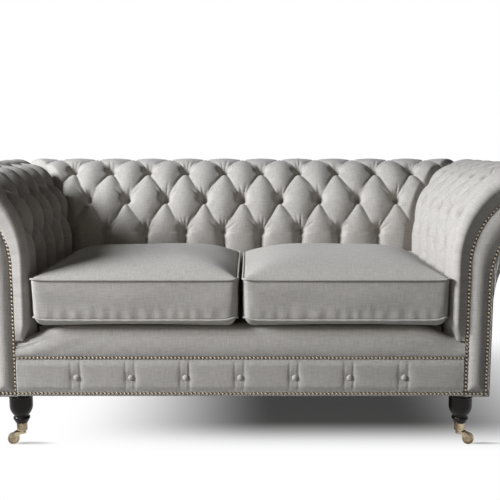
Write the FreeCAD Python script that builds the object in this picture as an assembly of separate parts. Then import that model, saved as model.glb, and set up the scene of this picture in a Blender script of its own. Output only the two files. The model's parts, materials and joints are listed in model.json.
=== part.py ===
import FreeCAD, Part

import math
import os
from collections import namedtuple

# A two-seat chesterfield sofa in millimetres. +Z is up and the front faces -Y. Left and right are
# as seen from the front. The origin is on the floor under the middle of the sofa. A "depth" is
# measured back from the front face of the upholstered rail, and "out" is measured from the inner
# face of an arm or of the back, away from the sitter.

Vector = FreeCAD.Vector
ALONG_Z = Vector(0, 0, 1)

# Frame
SEAT_HALF = 611.0  # half the width between the two arm frames
BACK_FACE = 590.0  # depth of the back frame's inner face
ARM_BASE = 71.0  # thickness of an arm or of the back at its base
BASE_Z = 153.0  # underside of the rails, on top of the feet
RAIL_TOP = 262.0
RAIL_THICK = 32.0
RAIL_OUT = 31.0  # inner face of a side or rear rail
FACING_THICK = 14.0  # padding in front of the rail and the arm boards
STRAP_THICK = 2.5
PANEL_THICK = 6.0
LINING_THICK = 6.0
BOARD_INSET = 8.0  # inner boards stop this far inside the outer face
REAR_BOARD_DEPTH = 500.0
UPRIGHT_THICK = 30.0
UPRIGHTS_X = (-560.0, 0.0, 560.0)
TACKING_Z = (285.0, 320.0)
TOP_RAIL_HALF = 35.0
TOP_RAIL_Z = (600.0, 660.0)
CORNER_BLOCK = 104.0
CORNER_BLOCK_H = 50.0
CENTRE_RAIL_HALF = 16.0
CENTRE_RAIL_TOP = 225.0
STRAP_WIDTH = 60.0
STRAP_GRIP = 22.0  # how far a strap runs onto a rail
STRAPS_X = [160.0 * (i - 2.5) for i in range(6)]
STRAPS_DEPTH = [90.0 + 110.0 * i for i in range(4)]
DUST_THICK = 1.2
DUST_FRONT = 16.0
DUST_CLEAR = 1.0  # gap between the dust cover and a foot
PANEL_GAP = 0.4  # gap between a front panel and an arm board, or a panel and the head above it
PAST_MITRE = 900.0  # linings and outside panels run this far, past the mitres that cut them

# Side profile that the arms and the back share: upright, leaning out, over the shoulder, round the head
LEAN_START = 515.0
LEAN_R = 225.0
LEAN_TURN = 43.0
SHOULDER_R = 130.0
SHOULDER_TURN = 90.0
HEAD_R = 75.0
FLARE_START = 470.0
FLARE_R = 220.0

# Buttoned pads
PAD_BOTTOM = 310.0
PAD_SEAT = 2.8  # the pad's back stands this far off the lining
LINING_END_TURN = 300.0
ARM_PITCH = 110.0
BACK_PITCH = 130.0
ARM_COLUMNS = [ARM_PITCH * (i + 1) for i in range(8)]
BACK_COLUMNS = [BACK_PITCH * (i + 0.5) for i in range(-7, 7)]
NOSE_LENGTH = 42.0  # rounded front end of an arm pad
BUTTON_SHARE = 0.095  # half the width of a buttoned valley, as a share of the pitch
MITRE_GAP = 0.25
NOSE_CROWN = 0.72  # height of the half scallop behind the nose, as a share of a whole one

# A cross-section of a pad: where it lies on the profile, then the heights of the fold between two
# scallops, of the scallop on a first column and of the one on a second column (half a pitch along),
# and half the width of the first scallop as a share of the pitch.
Station = namedtuple("Station", "turn height fold first second share")
FIRST_ROW = BUTTON_SHARE
SECOND_ROW = 0.5 - BUTTON_SHARE
BETWEEN = 0.25
ROW_3 = Station(6.5, None, 27.0, 24.0, 49.0, FIRST_ROW)
ROW_2 = Station(31.0, None, 29.0, 60.0, 26.0, SECOND_ROW)
ROW_1 = Station(65.0, None, 33.0, 30.0, 68.0, FIRST_ROW)
ROW_0 = Station(100.0, None, 40.0, 80.0, 37.0, SECOND_ROW)
STATIONS = [
    Station(0.0, PAD_BOTTOM, 38.0, 36.0, 47.0, FIRST_ROW),
    Station(0.0, 500.0, 34.0, 32.0, 48.0, FIRST_ROW),
    ROW_3,
    Station(18.5, None, 42.0, 57.0, 57.0, BETWEEN),
    ROW_2,
    Station(47.0, None, 48.0, 65.0, 65.0, BETWEEN),
    ROW_1,
    Station(82.0, None, 54.0, 74.0, 74.0, BETWEEN),
    ROW_0,
    Station(124.0, None, 46.0, 62.0, 44.0, SECOND_ROW),
    Station(153.0, None, 35.0, 44.0, 34.0, SECOND_ROW),
    Station(182.0, None, 26.0, 30.0, 25.0, SECOND_ROW),
    Station(211.0, None, 18.0, 20.0, 17.0, SECOND_ROW),
    Station(240.0, None, 12.0, 13.0, 11.5, SECOND_ROW),
    Station(270.0, None, 9.0, 10.0, 8.5, SECOND_ROW),
    Station(LINING_END_TURN, None, 6.0, 7.0, 5.5, SECOND_ROW),
]
BACK_REACH = 30.0  # the pad's crown where the roll reaches furthest out
HEAD_SPLIT_TURN = 200.0  # the head is drawn as two arcs that meet here

# Seat
DECK_TOP = 349.4
DECK_HALF = 556.0
DECK_BACK = 538.0
BORDER_ROUND = 22.0
CUSHION_X = (8.0, 553.0)
CUSHION_DEPTH = (-3.0, 525.0)
CUSHION_BOTTOM = 350.0
CUSHION_SEAMS = (371.0, 480.0)
CUSHION_TOP = 527.0
CUSHION_CORNER = 16.0
# Rings of the crown and of the belly: share of the rise, inset from the seam, corner radius
CROWN_RINGS = ((0.40, 32.0, 30.0), (0.72, 80.0, 40.0), (0.92, 140.0, 45.0), (1.0, 210.0, 40.0))
BELLY_RINGS = ((0.70, 30.0, 36.0), (1.0, 75.0, 40.0))
SIDE_PULL = 3.0  # how far the sides draw in between the seams
COVER_THICK = 3.0
CORE_GAP = 0.4
WELT_R = 3.4
WELT_GAP = 0.2
APRON_MARGIN_LOW = 19.0  # flat nailed edges of the apron
APRON_MARGIN_HIGH = 12.0
PLEAT_DEPTH = 6.0
PLEAT_BULGE = 2.0
PLEAT_HALF = 14.0
PUFF_DEPTH = -3.0

# Buttons and nails
BUTTON_R = 9.3
BUTTON_STEM = 7.0
BUTTON_STEM_R = 2.2
BUTTON_DOME = 5.3
BUTTON_LIFT = 2.0
BUTTON_CLEAR = 2.2 * BUTTON_R  # no button is nearer than this to a mitre
RAIL_BUTTONS_X = [149.0 * i for i in range(-3, 4)]
RAIL_BUTTON_Z = 208.0
RAIL_BUTTON_STEM = 2.0
RAIL_BUTTON_DEPTH = 4.0
NAIL_PITCH = 10.7
NAIL_R = 5.0
NAIL_TOP_R = 2.7
NAIL_H = 2.6
NAIL_INNER = 4.5  # nails stand this far inside a facing's inner edge
NAIL_OUTER = 11.0  # and this far inside its outer edge
NAIL_ROW_LOW = 163.0
NAIL_ROW_HIGH = 263.2

# Feet and castors
FRONT_FOOT = (618.0, 57.0)  # X and depth of a front foot's axis
REAR_FOOT = (616.0, 606.0)
REAR_FOOT_TOP = 55.0
REAR_FOOT_END = 38.0
REAR_FOOT_RAKE = 24.0
FOOT_END_Z = 62.0
BOLT_R = 4.0
BOLT_Z = (120.0, 206.0)
BOLT_CLEAR = 0.4
BORE_SPARE = 2.0  # a bolt's bore goes on this far past its end
TEE_NUT_R = 6.0
TEE_NUT_H = 12.0
TEE_FLANGE_R = 9.0
TEE_FLANGE_H = 1.5
FRONT_FOOT_R = 38.0
CUP_FLOOR_Z = (36.0, 45.0)
SPIGOT_Z = 49.0
SPIGOT_R = 12.95
PINTLE_R = 4.0
RUNNING_GAP = 0.05
TRAIL = 24.0
WHEEL_R = 16.5
AXLE_R = 2.5
AXLE_HEAD = 1.4
AXLE_HEAD_R = 4.0
CHEEK_Y = (7.8, 10.6)
HORN_LOW = 30.0
HORN_GAP = 0.2
RIVET_R = 6.0
RIVET_H = 2.2
CASTOR_TURN = -15.0  # the wheels trail outwards and a little forwards


def roll_arc(turn):
    """Centre (out, z) and radius of the profile's arc at a turn from upright, in degrees."""
    lean = math.radians(LEAN_TURN)
    step = LEAN_R - SHOULDER_R
    shoulder = (LEAN_R - step * math.cos(lean), LEAN_START + step * math.sin(lean))
    if turn <= LEAN_TURN:
        return LEAN_R, LEAN_START, LEAN_R
    if turn <= SHOULDER_TURN:
        return shoulder[0], shoulder[1], SHOULDER_R
    return shoulder[0], shoulder[1] + SHOULDER_R - HEAD_R, HEAD_R


def profile(turn, rise=0.0, height=None):
    """(out, z) of a point that stands rise above the profile. Below the lean, height says where."""
    if height is not None:
        return -rise, height
    out, z, radius = roll_arc(turn)
    angle = math.radians(turn)
    reach = radius + rise
    return out - reach * math.cos(angle), z + reach * math.sin(angle)


HEAD = roll_arc(180.0)
BACK_ROLL = BACK_FACE + profile(180.0, BACK_REACH)[0]
FRONT = -(BACK_ROLL + CUSHION_DEPTH[0] - WELT_GAP - 2 * WELT_R) / 2


def at(x, depth, z):
    return Vector(x, FRONT + depth, z)


def on_arm(along, out, z):
    """A point of the right arm."""
    return at(SEAT_HALF + out, along, z)


def on_back(along, out, z):
    return at(along, BACK_FACE + out, z)


def line(a, b):
    return Part.LineSegment(a, b).toShape()


def arc(a, b, c):
    return Part.Arc(a, b, c).toShape()


def box(x, depth, z):
    corner = at(x[0], depth[0], z[0])
    return Part.makeBox(x[1] - x[0], depth[1] - depth[0], z[1] - z[0], corner)


def mirrored(shape):
    return shape.mirror(Vector(0, 0, 0), Vector(1, 0, 0))


def prism(points, z):
    """Extrudes a plan outline of (x, depth) points between two heights."""
    outline = [at(x, depth, z[0]) for x, depth in points]
    face = Part.Face(Part.makePolygon(outline + outline[:1]))
    return face.extrude(Vector(0, 0, z[1] - z[0]))


def cylinder(x, depth, z, radius):
    return Part.makeCylinder(radius, z[1] - z[0], at(x, depth, z[0]), ALONG_Z)


def turned(points):
    """Revolves an outline of (radius, z) points about Z. A third value marks an arc's middle point."""
    edges = []
    start = points[0]
    middle = None
    for point in list(points[1:]) + [points[0]]:
        if len(point) == 3:
            middle = point
            continue
        a, b = Vector(start[0], 0, start[1]), Vector(point[0], 0, point[1])
        edges.append(arc(a, Vector(middle[0], 0, middle[1]), b) if middle else line(a, b))
        start, middle = point, None
    return Part.Face(Part.Wire(edges)).revolve(Vector(0, 0, 0), ALONG_Z, 360)


def mitre_wedge(keep_arm):
    """The space on one side of the mitres between the arms and the back: the right arm's or the back's."""
    near, far = 400.0, 1200.0
    shift = BACK_FACE - SEAT_HALF + (-MITRE_GAP if keep_arm else MITRE_GAP)
    if keep_arm:
        plan = [(near, near + shift), (near, -near), (far, -near), (far, far + shift)]
    else:
        plan = [(-near, near + shift), (near, near + shift), (far, far + shift), (-far, far + shift)]
    return prism(plan, (0.0, far))


ARM_WEDGE = mitre_wedge(True)
BACK_WEDGE = mitre_wedge(False)


def flare_meets_head(inset_in, inset_out):
    """(out, z) where the outer face's flare runs into the underside of the head."""
    head_out, head_z, head_r = HEAD[0], HEAD[1], HEAD[2] - inset_in
    flare_out, flare_z, flare_r = ARM_BASE + FLARE_R, FLARE_START, FLARE_R + inset_out
    apart = math.hypot(flare_out - head_out, flare_z - head_z)
    along = (apart**2 + head_r**2 - flare_r**2) / (2 * apart)
    across = math.sqrt(head_r**2 - along**2)
    unit_out, unit_z = (flare_out - head_out) / apart, (flare_z - head_z) / apart
    return (
        head_out + along * unit_out + across * unit_z,
        head_z + along * unit_z - across * unit_out,
    )


def flare_edges(place, inset_in, inset_out, bottom):
    """The outer face from the head down to the base."""
    top = flare_meets_head(inset_in, inset_out)
    centre = ARM_BASE + FLARE_R
    radius = FLARE_R + inset_out
    half = math.asin((top[1] - FLARE_START) / radius) / 2
    middle = (centre - radius * math.cos(half), FLARE_START + radius * math.sin(half))
    foot = (ARM_BASE - inset_out, FLARE_START)
    return [
        arc(place(*top), place(*middle), place(*foot)),
        line(place(*foot), place(ARM_BASE - inset_out, bottom)),
    ]


def roll_edges(place, rise, end_turn):
    """Arcs that follow the profile at a rise above it, from upright to a turn on the head."""
    turns = [0.0, LEAN_TURN, SHOULDER_TURN, HEAD_SPLIT_TURN, end_turn]
    edges = []
    for start, end in zip(turns, turns[1:]):
        out, z, radius = roll_arc((start + end) / 2)
        reach = radius + rise
        angles = [math.radians(turn) for turn in (start, (start + end) / 2, end)]
        edges.append(arc(*(place(out - reach * math.cos(a), z + reach * math.sin(a)) for a in angles)))
    return edges


def scroll_edges(place, inset_in, inset_out, bottom):
    """The scroll outline of an arm or a back upright, from its inner foot round to its outer foot."""
    top = flare_meets_head(inset_in, inset_out)
    end_turn = 180.0 + math.degrees(math.atan2(HEAD[1] - top[1], top[0] - HEAD[0]))
    upright = line(place(inset_in, bottom), place(inset_in, LEAN_START))
    rolled = roll_edges(place, -inset_in, end_turn)
    return [upright] + rolled + flare_edges(place, inset_in, inset_out, bottom)


def scroll_board(place, inset_in, inset_out, bottom, along):
    """A board cut to the scroll outline."""
    edges = scroll_edges(place, inset_in, inset_out, bottom)
    edges.append(line(edges[-1].Vertexes[-1].Point, edges[0].Vertexes[0].Point))
    return Part.Face(Part.Wire(Part.__sortEdges__(edges))).extrude(along)


def lining(place, along):
    """The bent lining that a pad is buttoned to, from the tacking rail to the underside of the head."""
    edges = []
    for rise in (0.0, -LINING_THICK):
        edges.append(line(place(-rise, TACKING_Z[0]), place(-rise, LEAN_START)))
        edges += roll_edges(place, rise, LINING_END_TURN)
    outer, inner = profile(LINING_END_TURN), profile(LINING_END_TURN, -LINING_THICK)
    edges.append(line(place(*outer), place(*inner)))
    edges.append(line(place(0.0, TACKING_Z[0]), place(LINING_THICK, TACKING_Z[0])))
    return Part.Face(Part.Wire(Part.__sortEdges__(edges))).extrude(along)


def outside_panel(place, along):
    """The outer covering of an arm or the back, from the base to under the head."""
    edges = flare_edges(place, -PANEL_GAP, 0.0, BASE_Z)
    edges += flare_edges(place, -PANEL_GAP, PANEL_THICK, BASE_Z)
    tops = [flare_meets_head(-PANEL_GAP, inset) for inset in (0.0, PANEL_THICK)]
    edges.append(line(place(*tops[0]), place(*tops[1])))
    edges.append(line(place(ARM_BASE, BASE_Z), place(ARM_BASE - PANEL_THICK, BASE_Z)))
    return Part.Face(Part.Wire(Part.__sortEdges__(edges))).extrude(along)


def scallops(station, columns):
    """(start, middle, end) of each scallop of a section, as (along, rise) pairs."""
    half = station.share * (columns[1] - columns[0])
    found = []
    for column, after in zip(columns, columns[1:] + [None]):
        ends = (column - half, station.fold), (column + half, station.fold)
        found.append((ends[0], (column, station.first), ends[1]))
        if after is not None:
            found.append((ends[1], ((column + after) / 2, station.second), (after - half, station.fold)))
    return found


def arm_front(station, first):
    """The rounded nose of an arm pad and the half scallop behind it, up to the first scallop's start."""
    crown = max(station.second, station.fold)
    nose_end = (NOSE_LENGTH, crown)
    slant = math.sqrt(0.5)
    nose = (
        NOSE_LENGTH * (1 - slant),
        PAD_SEAT + (crown - PAD_SEAT) * slant,
    )
    share = NOSE_CROWN if station.second > station.fold else 0.0
    dip = 0.0 if share else station.second - station.fold
    middle = ((NOSE_LENGTH + first[0]) / 2, station.fold + share * (crown - station.fold) + dip)
    return [((0.0, PAD_SEAT), nose, nose_end), (nose_end, middle, first)]


def pad(place, columns, rounded_front):
    """A deep-buttoned pad: a ruled loft through scalloped sections that follow the profile."""
    wires = []
    for station in STATIONS:
        def point(pair):
            return place(pair[0], *profile(station.turn, pair[1], station.height))

        found = scallops(station, columns)
        if rounded_front:
            found = arm_front(station, found[0][0]) + found
        edges = [arc(*(point(pair) for pair in three)) for three in found]
        last, first = found[-1][2], found[0][0]
        edges.append(line(point(last), point((last[0], PAD_SEAT))))
        edges.append(line(point((last[0], PAD_SEAT)), point((first[0], PAD_SEAT))))
        if not rounded_front:
            edges.append(line(point((first[0], PAD_SEAT)), point(first)))
        wires.append(Part.Wire(edges))
    return Part.makeLoft(wires, True, True)


def covered_button(stem):
    """A fabric-covered button on its stem, facing +Z."""
    return turned([
        (0.0, 0.0),
        (BUTTON_STEM_R, 0.0),
        (BUTTON_STEM_R, stem),
        (BUTTON_R, stem),
        (BUTTON_R * 0.80, stem + BUTTON_DOME * 0.70, "arc"),
        (BUTTON_R * 0.35, stem + BUTTON_DOME),
        (0.0, stem + BUTTON_DOME),
    ])


def placed(shape, position, normal):
    copy = shape.copy()
    copy.Placement = FreeCAD.Placement(position, FreeCAD.Rotation(ALONG_Z, normal))
    return copy


def pad_buttons(place, columns, mitre_at):
    """The buttons of a pad, one at each crossing of its folds that is clear of the mitre."""
    button = covered_button(BUTTON_STEM)
    half = (columns[1] - columns[0]) / 2
    rows = ((ROW_3, 0.0, ROW_3.first), (ROW_2, -half, ROW_2.second))
    rows += ((ROW_1, 0.0, ROW_1.first), (ROW_0, -half, ROW_0.second))
    found = []
    for station, shift, valley in rows:
        clear = mitre_at + profile(station.turn, valley)[0] - BUTTON_CLEAR
        for column in [columns[0] - 2 * half] + columns:
            along = column + shift
            if abs(along) > clear or (mitre_at == BACK_FACE and along < half / 2):
                continue
            foot = place(along, *profile(station.turn, valley + BUTTON_LIFT))
            tip = place(along, *profile(station.turn, valley + BUTTON_LIFT + 1.0))
            found.append(placed(button, foot, tip - foot))
    return Part.makeCompound(found)


def rounded_plan(x, depth, z, corner):
    """A closed wire of four lines and four arcs at one height."""
    slant = corner * (1 - math.sqrt(0.5))
    points = []
    for sx, sd in ((0, 0), (1, 0), (1, 1), (0, 1)):
        px, pd = x[sx], depth[sd]
        dx, dd = (1 - 2 * sx), (1 - 2 * sd)
        on_depth = at(px, pd + dd * corner, z)
        on_x = at(px + dx * corner, pd, z)
        middle = at(px + dx * slant, pd + dd * slant, z)
        points.append((on_depth, middle, on_x) if sx == sd else (on_x, middle, on_depth))
    edges = []
    for i, three in enumerate(points):
        edges.append(arc(*three))
        edges.append(line(three[2], points[(i + 1) % 4][0]))
    return Part.Wire(edges)


def cushion_body(inset):
    """The right seat cushion's stuffed form: crowned above and below its seams, drawn in between them."""
    low, high = CUSHION_SEAMS

    def ring(z, pull, corner=CUSHION_CORNER):
        x = (CUSHION_X[0] + inset + pull, CUSHION_X[1] - inset - pull)
        depth = (CUSHION_DEPTH[0] + inset + pull, CUSHION_DEPTH[1] - inset - pull)
        return rounded_plan(x, depth, z, corner)

    middle = (low + high) / 2
    waist = Part.makeLoft([ring(low, 0.0), ring(middle, SIDE_PULL), ring(high, 0.0)], True, False)
    rise = CUSHION_TOP - inset - high
    drop = low - CUSHION_BOTTOM - inset
    above = [ring(high + rise * share, pull, corner) for share, pull, corner in CROWN_RINGS]
    below = [ring(low - drop * share, pull, corner) for share, pull, corner in BELLY_RINGS]
    crown = Part.makeLoft([ring(high, 0.0)] + above, True, True)
    belly = Part.makeLoft([ring(low, 0.0)] + below, True, True)
    return waist.fuse([crown, belly]).removeSplitter()


def cushion_welts():
    """Two piping cords sewn round the cushion at its seams."""
    reach = WELT_R + WELT_GAP
    loops = []
    for z in CUSHION_SEAMS:
        x = (CUSHION_X[0] - reach, CUSHION_X[1] + reach)
        depth = (CUSHION_DEPTH[0] - reach, CUSHION_DEPTH[1] + reach)
        path = rounded_plan(x, depth, z, CUSHION_CORNER + reach)
        start = at(x[0], depth[0] + CUSHION_CORNER + reach, z)
        section = Part.Wire(Part.makeCircle(WELT_R, start, Vector(0, 1, 0)))
        loops.append(path.makePipeShell([section], True, False))
    return Part.makeCompound(loops)


def border_pad():
    """The padded front edge of the seat, notched at its ends round the feet of the arm pads."""
    bottom = RAIL_TOP + STRAP_THICK
    back = FACING_THICK + RAIL_THICK
    half = SEAT_HALF - PANEL_GAP
    slant = BORDER_ROUND * (1 - math.sqrt(0.5))
    points = [(0.0, bottom), (0.0, DECK_TOP - BORDER_ROUND), (BORDER_ROUND, DECK_TOP), (back, DECK_TOP)]
    points.append((back, bottom))
    corners = [at(-half, depth, z) for depth, z in points]
    edges = [line(corners[0], corners[1])]
    edges.append(arc(corners[1], at(-half, slant, DECK_TOP - slant), corners[2]))
    edges += [line(a, b) for a, b in zip(corners[2:], corners[3:] + corners[:1])]
    whole = Part.Face(Part.Wire(edges)).extrude(Vector(2 * half, 0, 0))
    for side in (-1, 1):
        ends = sorted((side * DECK_HALF, side * (half + 1)))
        whole = whole.cut(box(ends, (-1.0, back + 1), (PAD_BOTTOM - PANEL_GAP, DECK_TOP + 1)))
    return whole


def apron_panel():
    """The lower front panel: flat nailed margins, and puffed fabric between the pleats at the buttons."""
    half = SEAT_HALF - PANEL_GAP
    top = RAIL_TOP + STRAP_THICK - PANEL_GAP
    low, high = BASE_Z + APRON_MARGIN_LOW, top - APRON_MARGIN_HIGH
    stops = [-half]
    for x in RAIL_BUTTONS_X:
        stops += [x - PLEAT_HALF, x + PLEAT_HALF]
    stops.append(half)
    edges = []
    for i, (a, b) in enumerate(zip(stops, stops[1:])):
        crest = PUFF_DEPTH if i % 2 == 0 else PLEAT_DEPTH - PLEAT_BULGE
        ends = at(a, PLEAT_DEPTH, low), at(b, PLEAT_DEPTH, low)
        edges.append(arc(ends[0], at((a + b) / 2, crest, low), ends[1]))
    corners = [at(half, PLEAT_DEPTH, low), at(half, FACING_THICK, low)]
    corners += [at(-half, FACING_THICK, low), at(-half, PLEAT_DEPTH, low)]
    edges += [line(a, b) for a, b in zip(corners, corners[1:])]
    puffed = Part.Face(Part.Wire(edges)).extrude(Vector(0, 0, high - low))
    margins = [
        box((-half, half), (0.0, FACING_THICK), (BASE_Z, low)),
        box((-half, half), (0.0, FACING_THICK), (high, top)),
    ]
    return puffed.fuse(margins)


def rail_buttons():
    """The seven buttons of the apron, on short stems."""
    button = covered_button(RAIL_BUTTON_STEM)
    feet = [at(x, RAIL_BUTTON_DEPTH, RAIL_BUTTON_Z) for x in RAIL_BUTTONS_X]
    return Part.makeCompound([placed(button, foot, Vector(0, -1, 0)) for foot in feet])


def nail_head():
    """A six-sided domed nail head, facing +Z, with its rim on the ground."""
    rings = []
    for radius, z in ((NAIL_R, 0.0), (NAIL_TOP_R, NAIL_H)):
        angles = [math.radians(60 * i) for i in range(7)]
        corners = [Vector(radius * math.cos(angle), radius * math.sin(angle), z) for angle in angles]
        rings.append(Part.makePolygon(corners))
    return Part.makeLoft(rings, True, True)


NAIL = nail_head()


def nails(points):
    return Part.makeCompound([placed(NAIL, point, Vector(0, -1, 0)) for point in points])


def rail_nails():
    """Two rows of nails: along the base of the whole front, and between the apron and the border."""
    found = []
    low_half = SEAT_HALF + ARM_BASE - NAIL_OUTER
    high_half = SEAT_HALF + NAIL_INNER - NAIL_PITCH
    for z, half in ((NAIL_ROW_LOW, low_half), (NAIL_ROW_HIGH, high_half)):
        count = round(2 * half / NAIL_PITCH)
        found += [at(-half + 2 * half * i / count, 0.0, z) for i in range(count + 1)]
    return nails(found)


def facing_nails():
    """Nails round the right facing, from its inner foot over the scroll to its outer foot."""
    def place(out, z):
        return on_arm(0.0, out, z)

    bottom = NAIL_ROW_LOW + NAIL_PITCH
    edges = scroll_edges(place, NAIL_INNER, NAIL_OUTER, bottom)
    found = []
    for run in (edges[:-2], edges[-2:]):
        path = Part.Wire(run)
        points = path.discretize(Number=round(path.Length / NAIL_PITCH) + 1)
        found += points[1:] if found else points
    return nails(found)


def castor_frame(shape):
    """Moves a castor piece from its own frame, trailing along +X, to the right front foot."""
    moved = shape.copy()
    turn = FreeCAD.Rotation(ALONG_Z, CASTOR_TURN)
    to_foot = FreeCAD.Placement(at(FRONT_FOOT[0], FRONT_FOOT[1], 0.0), turn)
    moved.Placement = to_foot.multiply(moved.Placement)
    return moved


def castor_cup():
    """The cup over the foot's spigot, with a bored floor for the pintle."""
    bore = PINTLE_R + RUNNING_GAP
    floor, ceiling = CUP_FLOOR_Z
    return turned([
        (bore, floor),
        (11.2, floor),
        (14.0, floor + 3.5, "arc"),
        (14.4, floor + 10.0),
        (14.9, FOOT_END_Z - 2.5),
        (15.7, FOOT_END_Z - 1.2, "arc"),
        (14.9, FOOT_END_Z),
        (SPIGOT_R + 0.05, FOOT_END_Z),
        (SPIGOT_R + 0.05, ceiling),
        (bore, ceiling),
    ])


def castor_horn():
    """The forked horn with the pintle that turns in the cup, riveted over inside it."""
    plate_top = CUP_FLOOR_Z[0] - HORN_GAP
    rivet = CUP_FLOOR_Z[1] + HORN_GAP
    cheek_back, cheek_front, boss = -8.0, 10.0, 6.0
    pintle = turned([
        (0.0, HORN_LOW),
        (PINTLE_R, HORN_LOW),
        (PINTLE_R, rivet),
        (RIVET_R, rivet),
        (RIVET_R, rivet + RIVET_H / 2),
        (RIVET_R - RIVET_H / 2, rivet + RIVET_H),
        (0.0, rivet + RIVET_H),
    ])
    plate = Part.makeCylinder(CHEEK_Y[1], plate_top - HORN_LOW, Vector(0, 0, HORN_LOW), ALONG_Z)
    points = {
        "back_top": (cheek_back, plate_top),
        "front_top": (cheek_front, plate_top),
        "brow": (TRAIL + 1.0, plate_top - 5.4),
        "boss_front": (TRAIL + boss, WHEEL_R),
        "boss_low": (TRAIL, WHEEL_R - boss),
        "boss_back": (TRAIL - boss, WHEEL_R),
        "throat": (9.0, 27.0),
        "back_low": (cheek_back, HORN_LOW),
    }
    horn = pintle.fuse(plate)
    for y in (CHEEK_Y[0], -CHEEK_Y[1]):
        p = {name: Vector(x, y, z) for name, (x, z) in points.items()}
        outline = Part.Wire([
            line(p["back_top"], p["front_top"]),
            arc(p["front_top"], p["brow"], p["boss_front"]),
            arc(p["boss_front"], p["boss_low"], p["boss_back"]),
            arc(p["boss_back"], p["throat"], p["back_low"]),
            line(p["back_low"], p["back_top"]),
        ])
        horn = horn.fuse(Part.Face(outline).extrude(Vector(0, CHEEK_Y[1] - CHEEK_Y[0], 0)))
    past = 2 * CHEEK_Y[1]
    start = Vector(TRAIL, -past, WHEEL_R)
    hole = Part.makeCylinder(AXLE_R + RUNNING_GAP / 2, 2 * past, start, Vector(0, 1, 0))
    return horn.cut(hole).removeSplitter()


def castor_axle():
    """A pin through both cheeks, headed at each end."""
    across = Vector(0, 1, 0)
    reach = CHEEK_Y[1] + AXLE_HEAD
    pin = Part.makeCylinder(AXLE_R, 2 * reach, Vector(TRAIL, -reach, WHEEL_R), across)
    for y in (-reach, CHEEK_Y[1]):
        pin = pin.fuse(Part.makeCylinder(AXLE_HEAD_R, AXLE_HEAD, Vector(TRAIL, y, WHEEL_R), across))
    return pin


def castor_wheel():
    """A turned brass wheel with a hub, a thin web and a slightly crowned tread."""
    bore, hub, rim = AXLE_R + RUNNING_GAP, 7.4, 6.8
    wheel = turned([
        (bore, -hub), (6.0, -hub), (6.8, -5.0), (11.5, -5.0), (12.5, -rim), (WHEEL_R - 0.8, -rim),
        (WHEEL_R, 0.0, "arc"),
        (WHEEL_R - 0.8, rim), (12.5, rim), (11.5, 5.0), (6.8, 5.0), (6.0, hub), (bore, hub),
    ])
    wheel.Placement = FreeCAD.Placement(Vector(TRAIL, 0, WHEEL_R), FreeCAD.Rotation(Vector(1, 0, 0), 90))
    return wheel


def front_foot():
    """A turned foot: flared top, bead, vase, ring, and a spigot for the castor's cup."""
    foot = turned([
        (0.0, BASE_Z), (FRONT_FOOT_R, BASE_Z), (FRONT_FOOT_R, BASE_Z - 3.0),
        (33.6, BASE_Z - 5.5, "arc"), (32.2, BASE_Z - 10.0),
        (33.6, BASE_Z - 13.0, "arc"), (32.2, BASE_Z - 16.0),
        (32.0, 113.0),
        (29.4, 98.0, "arc"), (22.0, 86.0),
        (20.6, 83.0), (20.6, 81.0),
        (23.2, 76.0, "arc"), (20.6, 70.0),
        (18.0, FOOT_END_Z + 2.0), (16.4, FOOT_END_Z),
        (SPIGOT_R, FOOT_END_Z), (SPIGOT_R, SPIGOT_Z), (0.0, SPIGOT_Z),
    ])
    foot.translate(at(FRONT_FOOT[0], FRONT_FOOT[1], 0.0))
    return foot.cut(cylinder(*FRONT_FOOT, (BOLT_Z[0] - BORE_SPARE, BASE_Z + 1), BOLT_R + RUNNING_GAP))


def rear_foot():
    """A square tapered foot, raked to the back."""
    rings = []
    for size, z, rake in ((REAR_FOOT_TOP, BASE_Z, 0.0), (REAR_FOOT_END, 0.0, REAR_FOOT_RAKE)):
        half = size / 2
        corners = ((-half, -half), (half, -half), (half, half), (-half, half), (-half, -half))
        rings.append(Part.makePolygon(
            [at(REAR_FOOT[0] + x, REAR_FOOT[1] + rake + d, z) for x, d in corners]))
    foot = Part.makeLoft(rings, True, True)
    return foot.cut(cylinder(*REAR_FOOT, (BOLT_Z[0] - BORE_SPARE, BASE_Z + 1), BOLT_R + RUNNING_GAP))


FOOT_AXES = (FRONT_FOOT, REAR_FOOT)
RAIL_BACK = BACK_FACE + RAIL_OUT  # front face of the rear rail


def corner_blocks():
    """Triangular blocks in the four corners of the seat frame, bored for the foot bolts."""
    side, front = SEAT_HALF + RAIL_OUT, FACING_THICK + RAIL_THICK
    plans = (
        [(side, front), (side, front + CORNER_BLOCK), (side - CORNER_BLOCK, front)],
        [(side, RAIL_BACK), (side, RAIL_BACK - CORNER_BLOCK), (side - CORNER_BLOCK, RAIL_BACK)],
    )
    top = BASE_Z + CORNER_BLOCK_H
    found = []
    for plan, (x, depth) in zip(plans, FOOT_AXES):
        block = prism(plan, (BASE_Z, top))
        block = block.cut(cylinder(x, depth, (BASE_Z - 1, top + 1), BOLT_R + BOLT_CLEAR))
        block = block.cut(cylinder(x, depth, (top - TEE_NUT_H, top + 1), TEE_NUT_R + RUNNING_GAP))
        found += [block, mirrored(block)]
    return Part.makeCompound(found)


def tee_nuts():
    """Flanged nuts let into the tops of the corner blocks."""
    top = BASE_Z + CORNER_BLOCK_H
    found = []
    for x, depth in FOOT_AXES:
        barrel = cylinder(x, depth, (top - TEE_NUT_H, top), TEE_NUT_R)
        flange = cylinder(x, depth, (top, top + TEE_FLANGE_H), TEE_FLANGE_R)
        bore = cylinder(x, depth, (top - TEE_NUT_H - 1, top + TEE_FLANGE_H + 1), BOLT_R + RUNNING_GAP)
        nut = barrel.fuse(flange).cut(bore)
        found += [nut, mirrored(nut)]
    return Part.makeCompound(found)


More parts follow.
